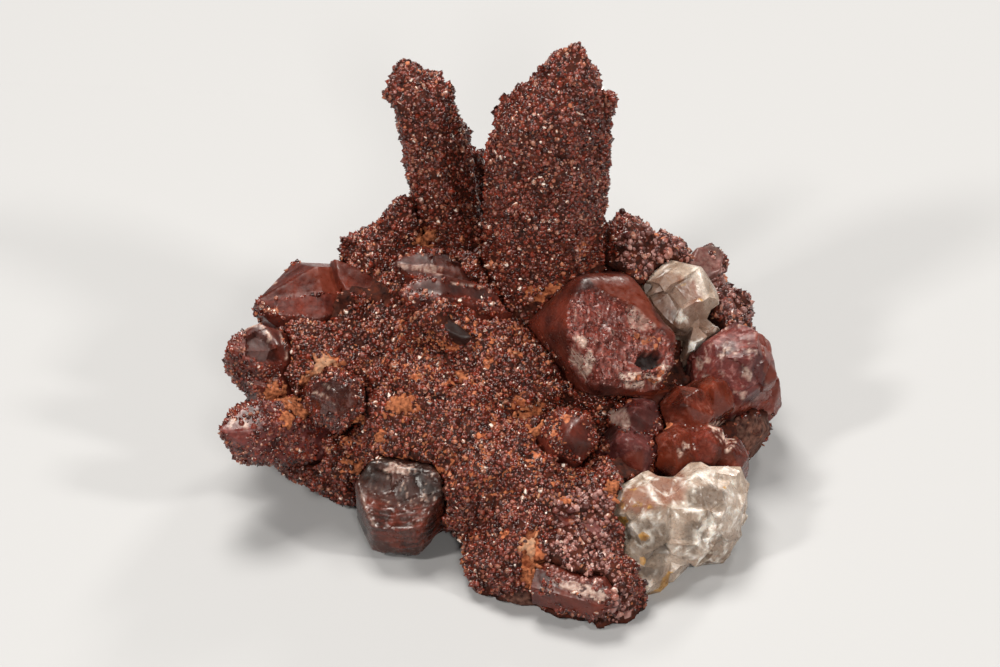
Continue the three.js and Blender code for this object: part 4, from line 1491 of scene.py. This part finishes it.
def build_crust(rock):
    random = np.random.default_rng(301)
    template, triangles = crumb_template()
    corners, faces = arrays_of(rock)
    rock_surface = BVHTree.FromPolygons(corners.tolist(), faces.tolist())
    all_corners = []
    all_triangles = []
    total = 0
    for across, down, radius, count in CRUST_SPOTS:
        middle = seen(across, down)
        for _ in range(count):
            place = middle + random.normal(size=3) * radius * 0.55
            found = [tree.find_nearest(Vector(place)) for tree in (rock_surface, crystal_tree)]
            point, normal, _, _ = min(found, key=lambda hit: hit[3])
            size = random.uniform(0.16, 0.46)
            turn = np.linalg.qr(random.normal(size=(3, 3)))[0]
            lump = template * random.uniform(0.75, 1.2, size=(len(template), 1)) * (1.5, 0.8, 0.6) * size
            all_corners.append(lump @ turn + np.array(point) + np.array(normal) * size * 0.3)
            order = triangles if np.linalg.det(turn) > 0 else triangles[:, ::-1]
            all_triangles.append(order + total)
            total += len(template)
    loose = mesh_from("crumbs", np.concatenate(all_corners), np.concatenate(all_triangles))
    crust = even_mesh(loose, CRUST_GRAIN)
    corners = corners_of(crust)
    set_corners(crust, corners + normals_of(crust) * (0.07 * rough(corners, 0.5, 303, 2))[:, None])
    pale = np.zeros(len(corners))
    for across, down in PALE_CRUST:
        pale = np.maximum(pale, 1 - ramp(np.linalg.norm(corners - seen(across, down), axis=1), 0.8, 2.2))
    set_masks(crust, {"pale": 0.35 * pale})
    add_piece("iron_crust", crust, iron_crust)
    add_flecks(rock, template, triangles)


# Chips that glitter on the broken faces


def glitter(mesh, name, outline, density, sizes, seed, slot, share=1.0):
    """Tiny splinters on a broken face."""
    points, normals = sites_on(mesh, density, 0.16, seed)
    surface = Surface(points)
    random = np.random.default_rng(seed + 1)
    chosen = random.random(len(points)) < share * surface.region(outline) * ramp(rough(points, 1.2, seed), -0.6, 0.2)
    points, normals = points[chosen], normals[chosen]
    radii = random.uniform(*sizes, size=len(points))
    masks = {"pale": 0.6 * random.random(len(points)) ** 2, "rust": np.zeros(len(points))}
    grow_druse(name, points, leaning(normals, 0.8, seed + 3), radii, seed + 2, pink_druse, slot, masks, tall=0.6)


# The studio: a plain pale floor and soft light


def add_floor():
    size = 1.6
    mesh = bpy.data.meshes.new("floor")
    mesh.from_pydata([(-size, -size, 0), (size, -size, 0), (size, size, 0), (-size, size, 0)], [], [(0, 1, 2, 3)])
    floor = bpy.data.objects.new("floor", mesh)
    material, _, shader = new_material("floor")
    shader.inputs["Base Color"].default_value = (0.4, 0.405, 0.415, 1)
    shader.inputs["Roughness"].default_value = 0.7
    mesh.materials.append(material)
    bpy.context.scene.collection.objects.link(floor)


def add_light(name, place, size, power):
    data = bpy.data.lights.new(name, "AREA")
    data.size = size
    data.energy = power
    data.color = (1.0, 0.96, 0.9)
    light = bpy.data.objects.new(name, data)
    light.location = place
    aim = Vector((0, 0, 0.02)) - light.location
    light.rotation_euler = aim.to_track_quat("-Z", "Y").to_euler()
    bpy.context.scene.collection.objects.link(light)


def add_studio():
    add_floor()
    add_light("top_light", (-0.1, 0.2, 0.6), 0.24, 4.2)
    add_light("left_light", (-0.42, -0.3, 0.44), 0.08, 2.7)
    add_light("right_light", (0.46, -0.22, 0.38), 0.08, 2.0)
    add_light("front_light", (0.05, -0.55, 0.4), 0.09, 1.6)
    add_light("rear_light", (0.25, 0.5, 0.35), 0.1, 1.6)
    world = bpy.data.worlds.new("world")
    world.use_nodes = True
    world.node_tree.nodes["Background"].inputs["Color"].default_value = (0.95, 0.96, 1.0, 1)
    world.node_tree.nodes["Background"].inputs["Strength"].default_value = 0.06
    bpy.context.scene.world = world
    bpy.context.scene.view_settings.view_transform = "Standard"


cad_centre = [(low + high) / 2 / MM for low, high in zip(*cad_box)]

rock = build_rock()
uprights = build_uprights()
druse_on(uprights, "druse_on_uprights", 12, 31, "druse", on_uprights)
druse_on(rock, "druse_on_rock", 12, 41, "matrix", on_rock)
add_flats(uprights, "flat_crystals_on_uprights", 380, 61, "druse", on_uprights)
add_flats(rock, "flat_crystals_on_rock", 420, 71, "matrix", on_rock)
build_crystals()
build_slabs()
broken = bpy.data.objects["broken_crystal_quartz"].data
glitter(broken, "broken_face_glitter", BROKEN_INNER, 14, (0.08, 0.2), 501, "hematoid_quartz", 0.55)
build_crust(rock)
add_studio()
